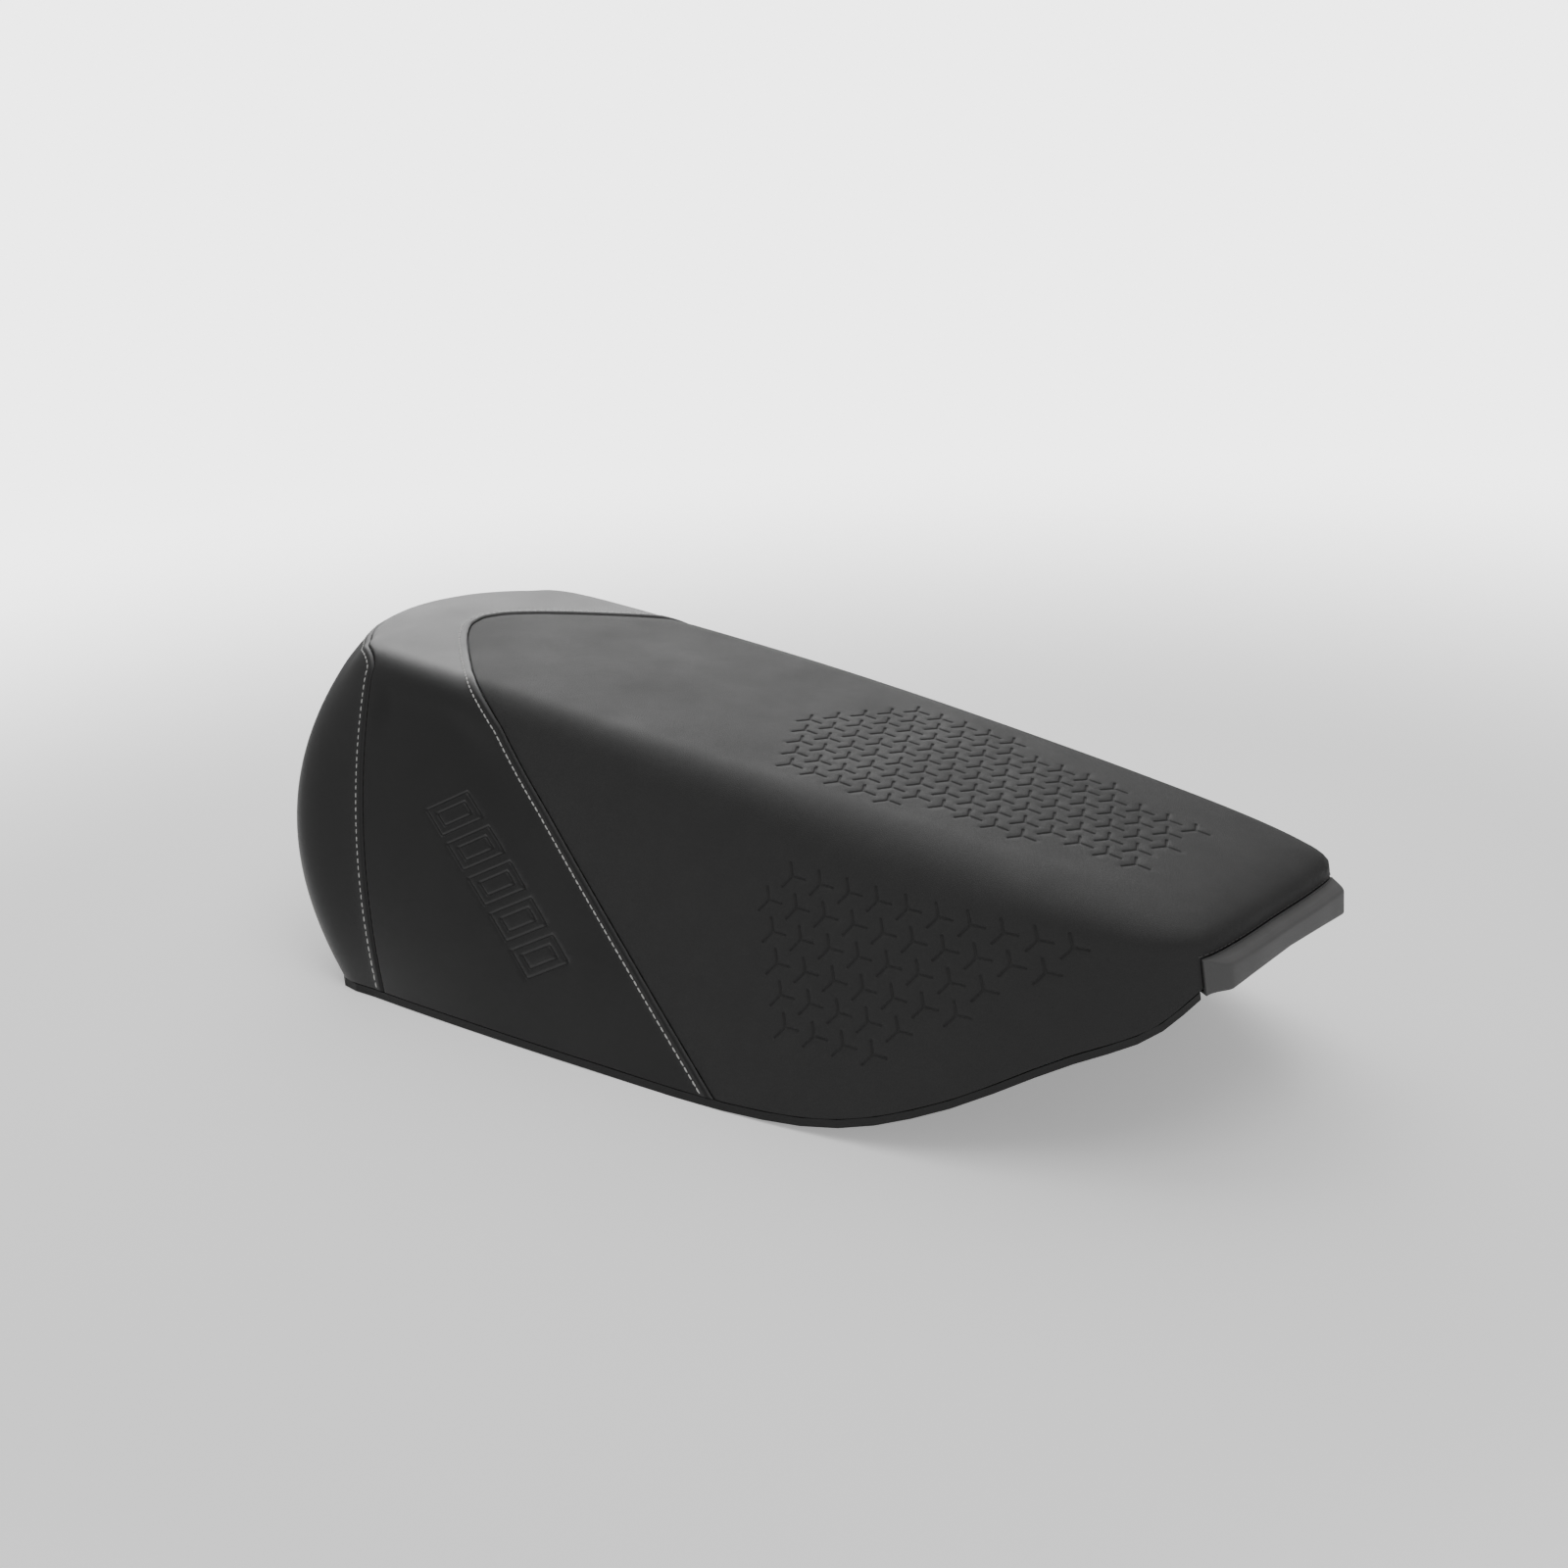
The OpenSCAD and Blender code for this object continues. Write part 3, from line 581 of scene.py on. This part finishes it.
cover = {"thickness": 1.5, "halfGap": 0.12, "edgeRings": (0.5, 1.1, 1.9, 3.0), "grid": 3.4, "rollRadius": 1.2}


def rolledEdge(distance):
    r = cover["rollRadius"]
    return r - np.sqrt(np.maximum(r * r - np.maximum(r - distance, 0) ** 2, 0))


def cutPanel(name, sections, seams, depthRule, slotName, marks=(), grid=None):
    grid = grid or cover["grid"]
    outline = insetLoop(joined(sections), cover["halfGap"])
    points, depths, edges = [outline], [np.zeros(len(outline))], []

    def addLoop(loop, depth):
        first = sum(len(p) for p in points)
        points.append(loop)
        depths.append(np.full(len(loop), float(depth)))
        edges.extend((first + k, first + (k + 1) % len(loop)) for k in range(len(loop)))

    edges.extend((k, (k + 1) % len(outline)) for k in range(len(outline)))
    for mark in marks:
        for loop, depth in mark["loops"]:
            addLoop(loop, depth)
        points.append(mark["floor"])
        depths.append(np.full(len(mark["floor"]), mark["depth"]))
    low, high = outline.min(0), outline.max(0)
    rowGap = grid * math.sqrt(0.75)
    rows = np.arange(low[1], high[1], rowGap)
    lattice = np.vstack([np.stack([np.arange(low[0] + (k % 2) * grid / 2, high[0], grid),
                                   np.full(len(np.arange(low[0] + (k % 2) * grid / 2, high[0], grid)), y)], -1)
                         for k, y in enumerate(rows)])
    lattice = lattice[insideLoop(lattice, outline)]
    lattice = lattice[nearest(lattice, outline) > cover["edgeRings"][-1] + grid * 0.45]
    for ring in cover["edgeRings"]:
        line = insetLoop(outline, ring)
        line = line[insideLoop(line, outline)]
        line = line[nearest(line, outline) > ring * 0.85]
        lattice = np.vstack([lattice, line])
    for mark in marks:
        near = np.abs(lattice - mark["keepOut"].mean(0)).max(1) < 40
        near[near] = insideLoop(lattice[near], mark["keepOut"])
        lattice = lattice[~near]
    points.append(lattice)
    depths.append(np.zeros(len(lattice)))
    points, depths = np.vstack(points), np.concatenate(depths)

    flat, _, triangles, origin, _, _ = delaunay_2d_cdt([Vector(p) for p in points], edges, [], 1, 1e-5)
    flat = np.array([tuple(p) for p in flat])
    marked = np.array([depths[o[0]] if len(o) else 0.0 for o in origin])
    place, normal = coverAt(flat[:, 0], flat[:, 1])
    s, w = patternToRib(flat[:, 0], flat[:, 1])
    gaps = [nearest(place, spread(coverAt(line[:, 0], line[:, 1])[0], 0.5)) for line in seams]
    depth = marked + depthRule(place, s, w, gaps)
    outer = place - depth[:, None] * normal
    inner = place - np.maximum(cover["thickness"], depth + 0.35)[:, None] * normal
    n = len(flat)
    used = {}
    for a, b, c in triangles:
        for edge in ((a, b), (b, c), (c, a)):
            used[edge] = True
    rim = [edge for edge in used if (edge[1], edge[0]) not in used]
    faces = [list(t) for t in triangles] + [[c + n, b + n, a + n] for a, b, c in triangles]
    faces += [[b, a, a + n, b + n] for a, b in rim]
    piece = makePiece(name, np.vstack([outer, inner]), faces, slotName)
    print(name, "has", len(faces), "faces, from", len(points), "pattern points")
    return piece


# pressed marks
gripMark = {
    "arm": 7.0,
    "rings": ((1.0, 0.0), (0.78, 0.1), (0.55, 0.52)),   # distance from the arm's middle, depth
    "floor": 0.6,
    "keepOut": 2.3,
    # top: pitch, row gap and middle; rows as first and last place along the row, in pitches
    "topPitch": 14.93, "topRowGap": 13.0, "topMiddle": 25.5,
    "topRows": {0: (0, 14), 1: (0.5, 13.5), 2: (1, 14), 3: (1.5, 10.5), 4: (2, 6)},
    # side: pitch, first mark as x and z, directions along and up the side, rows as start and count
    "sidePitch": 16.1, "sideFirst": (91.8, 105.4), "sideAlong": (0.999, -0.048), "sideUp": (0.16, 0.897),
    "sideRows": ((0, 10), (-0.5, 10), (0, 8), (0.5, 7), (1.0, 5), (1.5, 4)),
}


def markLoop(distance, arm):
    loop = []
    for k in range(3):
        turn = math.radians(120 * k)
        along = np.array([math.cos(turn), math.sin(turn)])
        across = np.array([-along[1], along[0]])
        start = distance / math.tan(math.radians(60))
        crotch = math.radians(120 * k - 60)
        loop.append(np.array([math.cos(crotch), math.sin(crotch)]) * distance / math.sin(math.radians(60)))
        stops = [start + (arm - start) * t for t in (0.35, 0.7)]
        loop += [along * t - across * distance for t in stops]
        for swing in (-90, -45, 0, 45, 90):
            angle = turn + math.radians(swing)
            loop.append(along * arm + distance * np.array([math.cos(angle), math.sin(angle)]))
        loop += [along * t + across * distance for t in reversed(stops)]
    return np.array(loop)


def markFloor(arm):
    turns = [math.radians(120 * k) for k in range(3)]
    return np.array([[0.0, 0.0]] + [[math.cos(a) * arm * t, math.sin(a) * arm * t]
                                    for a in turns for t in (0.25, 0.5, 0.75, 1)])


def sidePattern(x, z, side):
    # pattern place of a point given by x and z on the side of the seat
    px, py = np.array(x, float), np.full(np.shape(x), 150.0 * side)
    for _ in range(14):
        h = 0.3
        here = seatPoint(*patternToRib(px, py))
        dx = (seatPoint(*patternToRib(px + h, py)) - here) / h
        dy = (seatPoint(*patternToRib(px, py + h)) - here) / h
        ex, ez = x - here[..., 0], z - here[..., 2]
        det = dx[..., 0] * dy[..., 2] - dy[..., 0] * dx[..., 2]
        px = px + np.clip((ex * dy[..., 2] - dy[..., 0] * ez) / det, -25, 25)
        py = py + np.clip((dx[..., 0] * ez - ex * dx[..., 2]) / det, -25, 25)
    return np.stack([px, py], -1)


def markSet(lay):
    # lay turns points of one mark, in mm, into pattern points
    return {"loops": [(lay(markLoop(d, gripMark["arm"])), depth) for d, depth in gripMark["rings"]],
            "floor": lay(markFloor(gripMark["arm"])), "depth": gripMark["floor"],
            "keepOut": lay(markLoop(gripMark["keepOut"], gripMark["arm"]))}


def topMarks():
    made = []
    for row in range(-4, 5):
        first, last = gripMark["topRows"][abs(row)]
        for k in np.arange(first, last + 0.1):
            middle = np.array([gripMark["topMiddle"] + gripMark["topPitch"] * k, gripMark["topRowGap"] * row])
            made.append(markSet(lambda q, middle=middle: q + middle))
    return made


def sideMarks(side):
    made = []
    pitch = gripMark["sidePitch"]
    along, up = np.array(gripMark["sideAlong"]), np.array(gripMark["sideUp"])
    for row, (start, count) in enumerate(gripMark["sideRows"]):
        for k in range(count):
            middle = (np.array(gripMark["sideFirst"]) + along * pitch * (start + k)
                      - up * pitch * math.sqrt(0.75) * row)

            def lay(q, middle=middle):
                p = middle + q[:, :1] * along + q[:, 1:] * up
                return sidePattern(p[:, 0], p[:, 1], side)

            made.append(markSet(lay))
    return made


# the four cover panels
gripSeamRun = gripSeamLine()
turnAway = np.linspace(0, math.pi / 2, 24)
rearSeamHalf = np.vstack([
    ribLineAt(rearSeam["rib"], rearSeam["rib"], 2, rearSeam["top"] + rearSeam["turn"][1]),
    ribToPattern(rearSeam["rib"] + rearSeam["turn"][0] * (1 - np.cos(turnAway)),
                 rearSeam["top"] + rearSeam["turn"][1] * (1 - np.sin(turnAway))),
    ribLineAt(rearSeam["rib"] + rearSeam["turn"][0], lastRib, rearSeam["top"], rearSeam["top"])])
rearSeamRun = np.vstack([rearSeamHalf, rearSeamHalf[::-1] * (1, -1)])
lipSeamRun = ribLineAt(-lipSeam["rib"], lipSeam["rib"], lipSeam["top"], lipSeam["top"])
lipEnds = {side: ribLineAt(side * lipSeam["rib"], side * lipSeam["rib"], lipSeam["top"], 2) for side in (1, -1)}
gripFoot = float(gripSeamRib(np.array([2.0]))[0])

gripCover = cutPanel(
    "gripCover",
    [gripSeamRun, ribLineAt(-gripFoot, -lipSeam["rib"], 2, 2), lipEnds[-1][::-1], lipSeamRun, lipEnds[1],
     ribLineAt(lipSeam["rib"], gripFoot, 2, 2)],
    [gripSeamRun, lipSeamRun, lipEnds[1], lipEnds[-1]],
    lambda place, s, w, gaps: rolledEdge(np.minimum.reduce(gaps)) + 0.35 * (1 - smoothStep(1, 7, gaps[0])),
    "grip_vinyl", marks=topMarks() + sideMarks(-1) + sideMarks(1))

fold = {"ridge": 0.55, "ridgeEnd": 3.6, "stitchAt": 4.6, "stitchDip": 0.35, "valley": 1.6, "valleyAt": 1.15}


def foldedSeam(gap):
    # the turned-in allowance stands a little proud as far as the stitches, which pull it down again
    proud = smoothStep(0.6, 1.6, gap) * (1 - smoothStep(fold["ridgeEnd"], fold["stitchAt"] + 1.6, gap))
    return (rolledEdge(gap) - fold["ridge"] * proud
            + fold["stitchDip"] * np.exp(-((gap - fold["stitchAt"]) / 0.8) ** 2))


def shoulderRule(place, s, w, gaps):
    valley = np.exp(-((w - fold["valleyAt"]) / 0.075) ** 2)
    along = smoothStep(4, 26, gaps[0]) * smoothStep(2, 18, gaps[1])
    return foldedSeam(gaps[0]) + rolledEdge(gaps[1]) + fold["valley"] * valley * along * (np.abs(s) < rearSeam["rib"])


# plain slanted plates along the side band, each pressed as a double outline
motif = {"from": (-139.0, 105.5), "to": (-41.0, 36.0), "count": 5, "gap": 6.0, "height": 25.0, "lean": 62.0,
         "stroke": 4.2, "groove": ((1.1, 0.0), (0.75, 0.1), (0.4, 0.62))}


def plateLoop(halfLong, halfTall, lean, extra):
    halfLong = halfLong + extra / math.sin(lean)
    halfTall = halfTall + extra
    shift = halfTall / math.tan(lean)
    corners = np.array([[-halfLong - shift, -halfTall], [halfLong - shift, -halfTall],
                        [halfLong + shift, halfTall], [-halfLong + shift, halfTall]])
    return np.vstack([spread(np.array([corners[k], corners[(k + 1) % 4]]), 1.8)[:-1] for k in range(4)])


def motifMarks(side):
    made = []
    start, end = np.array(motif["from"]), np.array(motif["to"])
    length = np.linalg.norm(end - start)
    along = (end - start) / length
    across = np.array([-along[1], along[0]])
    lean = math.radians(motif["lean"])
    halfLong = (length / motif["count"] - motif["gap"]) / 2
    for k in range(motif["count"]):
        middle = start + along * length * (k + 0.5) / motif["count"]

        def lay(q, middle=middle):
            p = middle + q[:, :1] * along + q[:, 1:] * across
            return sidePattern(p[:, 0], p[:, 1], side)

        loops = []
        for inset in (0, motif["stroke"]):
            tall, wide = motif["height"] / 2 - inset, halfLong - inset / math.sin(lean)
            if wide < 1.5:
                continue
            loops += [(lay(plateLoop(wide, tall, lean, d)), depth) for d, depth in motif["groove"]]
            loops += [(lay(plateLoop(wide, tall, lean, -d)), depth) for d, depth in reversed(motif["groove"])]
        made.append({"loops": loops, "floor": lay(np.zeros((1, 2))), "depth": 0.0,
                     "keepOut": lay(plateLoop(halfLong, motif["height"] / 2, lean, 2.6))})
    return made


shoulderCover = cutPanel(
    "shoulderCover",
    [gripSeamRun[::-1], ribLineAt(gripFoot, rearSeam["rib"], 2, 2), rearSeamRun,
     ribLineAt(-rearSeam["rib"], -gripFoot, 2, 2)],
    [gripSeamRun, rearSeamRun], shoulderRule, "smooth_vinyl", marks=motifMarks(-1) + motifMarks(1), grid=2.6)
rearCover = cutPanel(
    "rearCover",
    [rearSeamRun[::-1], ribLineAt(rearSeam["rib"], lastRib, 2, 2), ribLineAt(-lastRib, -rearSeam["rib"], 2, 2)],
    [rearSeamRun], lambda place, s, w, gaps: foldedSeam(gaps[0]), "rear_vinyl")

lip = {"reach": 8.0, "drop": 1.6, "round": 2.4, "footRound": 1.6, "behind": 1.4, "endTaper": 0.42, "endReach": 1.2,
       "under": (0.8, 3.4), "flap": 18.5, "columns": 180}


def lipSection(reach, height):
    # outward and downward from the seam: ledge, rounded nose, face, rounded foot, then back up behind
    r = min(lip["round"], reach * 0.45)
    foot = min(lip["footRound"], reach * 0.3)
    drop = lip["drop"] * reach / lip["reach"]
    path = [(0.0, 0.0), (0.25, 0.35), (0.8, 0.25)]
    path += [(t, drop * t / reach) for t in np.linspace(min(1.6, reach * 0.5), reach - r, 5)]
    path += [(reach - r + r * math.sin(k), drop + r - r * math.cos(k)) for k in np.linspace(0.25, math.pi / 2, 6)]
    path += [(reach, drop + r + (height - drop - r - foot) * t) for t in (0.25, 0.5, 0.75, 1)]
    path += [(reach - foot + foot * math.cos(k), height - foot + foot * math.sin(k))
             for k in np.linspace(0.3, math.pi / 2, 5)]
    # the flap under the foam, then back up behind the face
    path += [(-lip["flap"], height), (-lip["flap"], height - 1), (-lip["behind"], height - 1)]
    path += [(-lip["behind"], height * 0.5), (-lip["behind"], 0.6)]
    return path


def loftLip():
    # the lip narrows at both ends, where it turns down into a tucked notch
    ribs = np.linspace(-lipSeam["rib"], lipSeam["rib"], lip["columns"])
    top, foot = seatPoint(ribs, lipSeam["top"]), seatPoint(ribs, 2.0)
    ahead = np.gradient(top, axis=0)
    out = np.stack([ahead[:, 1], -ahead[:, 0], 0 * ribs], -1)
    out /= np.linalg.norm(out, axis=-1, keepdims=True)
    verts = []
    for k, rib in enumerate(ribs):
        end = smoothStep(0, lip["endTaper"], lipSeam["rib"] - abs(rib))
        reach = lip["endReach"] + (lip["reach"] - lip["endReach"]) * end
        down = foot[k] - top[k]
        span = np.linalg.norm(down)
        height = span + np.interp(abs(rib) / lipSeam["rib"], (0, 1), lip["under"])
        for across, below in lipSection(reach, height):
            verts.append(top[k] + out[k] * across + down * below / span)
    n = len(verts) // len(ribs)
    faces = [[k * n + i, k * n + (i + 1) % n, (k + 1) * n + (i + 1) % n, (k + 1) * n + i]
             for k in range(len(ribs) - 1) for i in range(n)]
    faces += [list(range(n))[::-1], [(len(ribs) - 1) * n + i for i in range(n)]]
    return makePiece("frontLip", verts, faces, "lip_vinyl")


frontLip = loftLip()
for panel, nodeName in ((gripCover, "grip_cover"), (shoulderCover, "shoulder_cover"),
                        (rearCover, "rear_cover"), (frontLip, "front_lip")):
    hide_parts(nodeName)
    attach(panel, "root")
print("cover panels cut")


# stitches
def stitchTree():
    tree = bpy.data.node_groups.new("rowOfStitches", "GeometryNodeTree")
    face = tree.interface
    face.new_socket("Geometry", in_out="INPUT", socket_type="NodeSocketGeometry")
    for label, value in (("Pitch", 0.004), ("Stitch Length", 0.0033), ("Thread Radius", 0.00042), ("Lift", 0.0006)):
        socket = face.new_socket(label, in_out="INPUT", socket_type="NodeSocketFloat")
        socket.default_value = value
    face.new_socket("Thread", in_out="INPUT", socket_type="NodeSocketMaterial")
    face.new_socket("Geometry", in_out="OUTPUT", socket_type="NodeSocketGeometry")
    given, out = tree.nodes.new("NodeGroupInput"), tree.nodes.new("NodeGroupOutput")
    line = addNode(tree, "GeometryNodeMeshToCurve", n0=given.outputs["Geometry"])
    even = addNode(tree, "GeometryNodeResampleCurve", {"mode": "LENGTH"}, Curve=line.outputs["Curve"],
                   Length=given.outputs["Pitch"])
    up = addNode(tree, "GeometryNodeInputNamedAttribute", {"data_type": "FLOAT_VECTOR"}, Name="up")
    tangent = addNode(tree, "GeometryNodeInputTangent")
    stand = addNode(tree, "FunctionNodeAlignRotationToVector", {"axis": "Z"}, Vector=up.outputs["Attribute"])
    turn = addNode(tree, "FunctionNodeAlignRotationToVector", {"axis": "X", "pivot_axis": "Z"},
                   Rotation=stand.outputs["Rotation"], Vector=tangent.outputs["Tangent"])
    half = mathNode(tree, "MULTIPLY", given.outputs["Stitch Length"], 0.5)
    back = mathNode(tree, "MULTIPLY", half, -1.0)
    sink = mathNode(tree, "MULTIPLY", given.outputs["Thread Radius"], -0.7)
    ends = [addNode(tree, "ShaderNodeCombineXYZ", X=x, Z=z).outputs[0]
            for x, z in ((back, sink), (0.0, given.outputs["Lift"]), (half, sink))]
    arch = addNode(tree, "GeometryNodeCurveQuadraticBezier", Resolution=6, Start=ends[0], Middle=ends[1], End=ends[2])
    ring = addNode(tree, "GeometryNodeCurvePrimitiveCircle", Resolution=6)
    tree.links.new(given.outputs["Thread Radius"], ring.inputs["Radius"])
    stitch = addNode(tree, "GeometryNodeCurveToMesh", Curve=arch.outputs["Curve"])
    tree.links.new(ring.outputs["Curve"], stitch.inputs["Profile Curve"])
    stitch.inputs["Fill Caps"].default_value = True
    row = addNode(tree, "GeometryNodeInstanceOnPoints", Points=even.outputs["Curve"],
                  Instance=stitch.outputs["Mesh"], Rotation=turn.outputs["Rotation"])
    real = addNode(tree, "GeometryNodeRealizeInstances", Geometry=row.outputs["Instances"])
    done = addNode(tree, "GeometryNodeSetMaterial", Geometry=real.outputs["Geometry"])
    tree.links.new(given.outputs["Thread"], done.inputs["Material"])
    tree.links.new(done.outputs["Geometry"], out.inputs["Geometry"])
    return tree



rowOfStitches = stitchTree()


def stitchRow(name, line, normals, finishName, **sizes):
    # line and normals run along the row, in mm
    mesh = bpy.data.meshes.new(name)
    mesh.from_pydata((line * mm).tolist(), [(k, k + 1) for k in range(len(line) - 1)], [])
    up = mesh.attributes.new("up", "FLOAT_VECTOR", "POINT")
    up.data.foreach_set("vector", normals.astype(np.float32).ravel())
    path = bpy.data.objects.new(name + "Path", mesh)
    bpy.context.collection.objects.link(path)
    nodesModifier = path.modifiers.new("row", "NODES")
    nodesModifier.node_group = rowOfStitches
    identifiers = {item.name: item.identifier for item in rowOfStitches.interface.items_tree
                   if item.in_out == "INPUT"}
    nodesModifier[identifiers["Thread"]] = finishes[finishName]
    for label, value in sizes.items():
        nodesModifier[identifiers[label.replace("_", " ")]] = value * mm
    seen = path.evaluated_get(bpy.context.evaluated_depsgraph_get())
    made = bpy.data.meshes.new_from_object(seen)
    made.name = name
    made.polygons.foreach_set("use_smooth", [True] * len(made.polygons))
    bpy.data.objects.remove(path)
    if not made.materials:
        made.materials.append(finishes[finishName])
    piece = bpy.data.objects.new(name, made)
    bpy.context.collection.objects.link(piece)
    return piece


def beside(line, distance):
    # the line moved sideways over the cover by distance mm, to its left when positive
    run = spread(line, 1.5)
    seamPlaces = coverAt(run[:, 0], run[:, 1])[0]
    ahead = np.gradient(run, axis=0)
    ahead /= np.maximum(np.linalg.norm(ahead, axis=-1, keepdims=True), 1e-9)
    aside = np.stack([-ahead[:, 1], ahead[:, 0]], -1) * np.sign(distance)
    step = np.full(len(run), abs(distance))
    for _ in range(4):
        moved = run + aside * step[:, None]
        true = nearest(coverAt(moved[:, 0], moved[:, 1])[0], seamPlaces)
        step = step * np.clip(abs(distance) / np.maximum(true, 0.3), 0.6, 1.7)
    return run + aside * step[:, None]


def coverRow(name, line, lift, finishName, **sizes):
    place, normal = coverAt(line[:, 0], line[:, 1])
    kept = place[:, 2] > 5.5                      # the last stitch ends above the edge trim
    return stitchRow(name, (place + normal * lift)[kept], normal[kept], finishName, **sizes)


stitches = {"Pitch": 4.0, "Stitch_Length": 3.2, "Thread_Radius": 0.42, "Lift": 0.75}
gripStitches = coverRow("gripSeamStitches", beside(gripSeamRun, -fold["stitchAt"]), 0.0, "thread", **stitches)
rearStitches = coverRow("rearSeamStitches", beside(rearSeamRun, -fold["stitchAt"]), 0.0, "thread", **stitches)
lipStitches = coverRow("lipSeamStitches", beside(lipSeamRun, 1.5), 0.05, "lip_thread",
                       **dict(stitches, Pitch=3.0, Stitch_Length=2.0, Thread_Radius=0.2, Lift=0.3))
for piece, nodeName in ((gripStitches, "grip_seam_thread"), (rearStitches, "rear_seam_thread"),
                        (lipStitches, "lip_seam_thread")):
    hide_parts(nodeName)
    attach(piece, "root")
print("seams stitched")


# soft parts seen from below
hem = {"top": 48.0, "side": 17.6, "thickness": 1.5, "from": 1.8, "columns": 900, "pleat": 0.35, "wave": 0.5}


def loftClosed(name, rings, slotName, closed=True):
    # rings of the same number of points, joined one to the next
    count, n = len(rings), len(rings[0])
    last = count if closed else count - 1
    faces = [[k * n + i, k * n + (i + 1) % n, (k + 1) % count * n + (i + 1) % n, (k + 1) % count * n + i]
             for k in range(last) for i in range(n)]
    if not closed:
        faces += [list(range(n))[::-1], [(count - 1) * n + i for i in range(n)]]
    return makePiece(name, np.concatenate(rings), faces, slotName, sharp=70)


def turnedHem():
    # the covers' turned-in edge, gathered into small pleats between the staples
    ribs = np.linspace(-lastRib, lastRib, hem["columns"], endpoint=False)
    turns = np.sin(ribs * 41) * 0.6 + np.sin(ribs * 97 + 1.3) * 0.4
    bends = 1 + 0.6 * smoothStep(8.5, 10.5, np.abs(ribs))
    w = [hem["from"], hem["from"] + 0.05, 1.9, 1.95, 2.0]
    outer = [seatPoint(ribs, row, hem["top"], hem["side"]) for row in w]
    inner = [seatPoint(ribs, row, hem["top"] + 1, hem["side"] + hem["thickness"]) for row in w]
    ahead = outer[0] - inner[0]
    ahead /= np.linalg.norm(ahead, axis=-1, keepdims=True)
    for k, row in enumerate(inner):
        fade = (0.6, 1, 1, 0.7, 0.1)[k]
        inner[k] = row - ahead * (hem["pleat"] * bends * (turns + 0.4) * fade)[:, None]
    outer[0][:, 2] -= hem["wave"] * (1 + turns) * 0.5
    inner[0][:, 2] -= hem["wave"] * (1 + turns) * 0.5
    rings = np.stack(outer + inner[::-1], 1)
    return loftClosed("coverHem", list(rings), "smooth_vinyl")


strap = {"x": (-84.0, -66.0), "half": 20.0, "under": (-11.5, -8.5), "edge": 1.1, "rib": 0.28, "ribs": 5, "rows": 44}
panUnder = 45.0


def onPan(points):
    # from the underside of the pan, which lies along the slope
    slopeCos = 1 / math.hypot(1, seatForm["slope"])
    slopeSin = seatForm["slope"] * slopeCos
    x, y, z = points.T
    return np.stack([x * slopeCos + z * slopeSin, y,
                     seatForm["planeHeight"] - panUnder - x * slopeSin + z * slopeCos], -1)


def rubberStrap():
    xLow, xHigh = strap["x"]
    zLow, zHigh = strap["under"]
    r = strap["edge"]
    section = []
    for cx, cz, start in ((xHigh - r, zHigh - r, 0), (xLow + r, zHigh - r, 90), (xLow + r, zLow + r, 180),
                          (xHigh - r, zLow + r, 270)):
        section += [(cx + r * math.cos(math.radians(start + k)), cz + r * math.sin(math.radians(start + k)))
                    for k in (0, 30, 60, 90)]
        if start == 180:
            # fine lengthwise ribs on the side that shows
            steps = np.linspace(xLow + r, xHigh - r, strap["ribs"] * 6 + 1)[1:-1]
            section += [(x, zLow + strap["rib"] * (0.5 - 0.5 * math.cos((x - xLow - r) / (xHigh - xLow - 2 * r)
                                                                     * strap["ribs"] * 2 * math.pi))) for x in steps]
    section = np.array(section)
    rings = []
    for t in np.linspace(-1, 1, strap["rows"]):
        narrow = 1 - 0.12 * (1 - t * t)              # a little narrower where it is stretched
        middle = (xLow + xHigh) / 2
        ring = np.stack([middle + (section[:, 0] - middle) * narrow, np.full(len(section), t * strap["half"]),
                         section[:, 1]], -1)
        rings.append(onPan(ring))
    return loftClosed("documentStrap", rings, "buffer_rubber", closed=False)


for piece, nodeName in ((turnedHem(), "cover_hem"), (rubberStrap(), "document_strap")):
    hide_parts(nodeName)
    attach(piece, "root")
print("hem and strap made")


# floor
floorMesh = bpy.data.meshes.new("floor")
floorMesh.from_pydata([(x * 30, y * 30, 0) for x, y in ((-1, -1), (1, -1), (1, 1), (-1, 1))], [], [(0, 1, 2, 3)])
floorFinish, floorTree, floorShader, floorCoords = newFinish("floorPaint")
floorShader.inputs["Base Color"].default_value = (0.9, 0.9, 0.9, 1)
floorShader.inputs["Roughness"].default_value = 0.9
floorShader.inputs["Emission Color"].default_value = (1, 1, 1, 1)
floorShader.inputs["Emission Strength"].default_value = studio["floorGlow"]
# the floor thins out into the backdrop, so that no edge shows
away = addNode(floorTree, "ShaderNodeVectorMath", {"operation": "LENGTH"}, n0=floorCoords)
thin = addNode(floorTree, "ShaderNodeMapRange", {"interpolation_type": "SMOOTHSTEP"}, Value=away.outputs["Value"])
for label, value in (("From Min", studio["floorSolid"]), ("From Max", studio["floorGone"]),
                     ("To Min", 1.0), ("To Max", 0.0)):
    thin.inputs[label].default_value = value
floorTree.links.new(thin.outputs["Result"], floorShader.inputs["Alpha"])
floorMesh.materials.append(floorFinish)
floor = bpy.data.objects.new("floor", floorMesh)
floor.location.z = cadBox[0][2]
bpy.context.collection.objects.link(floor)
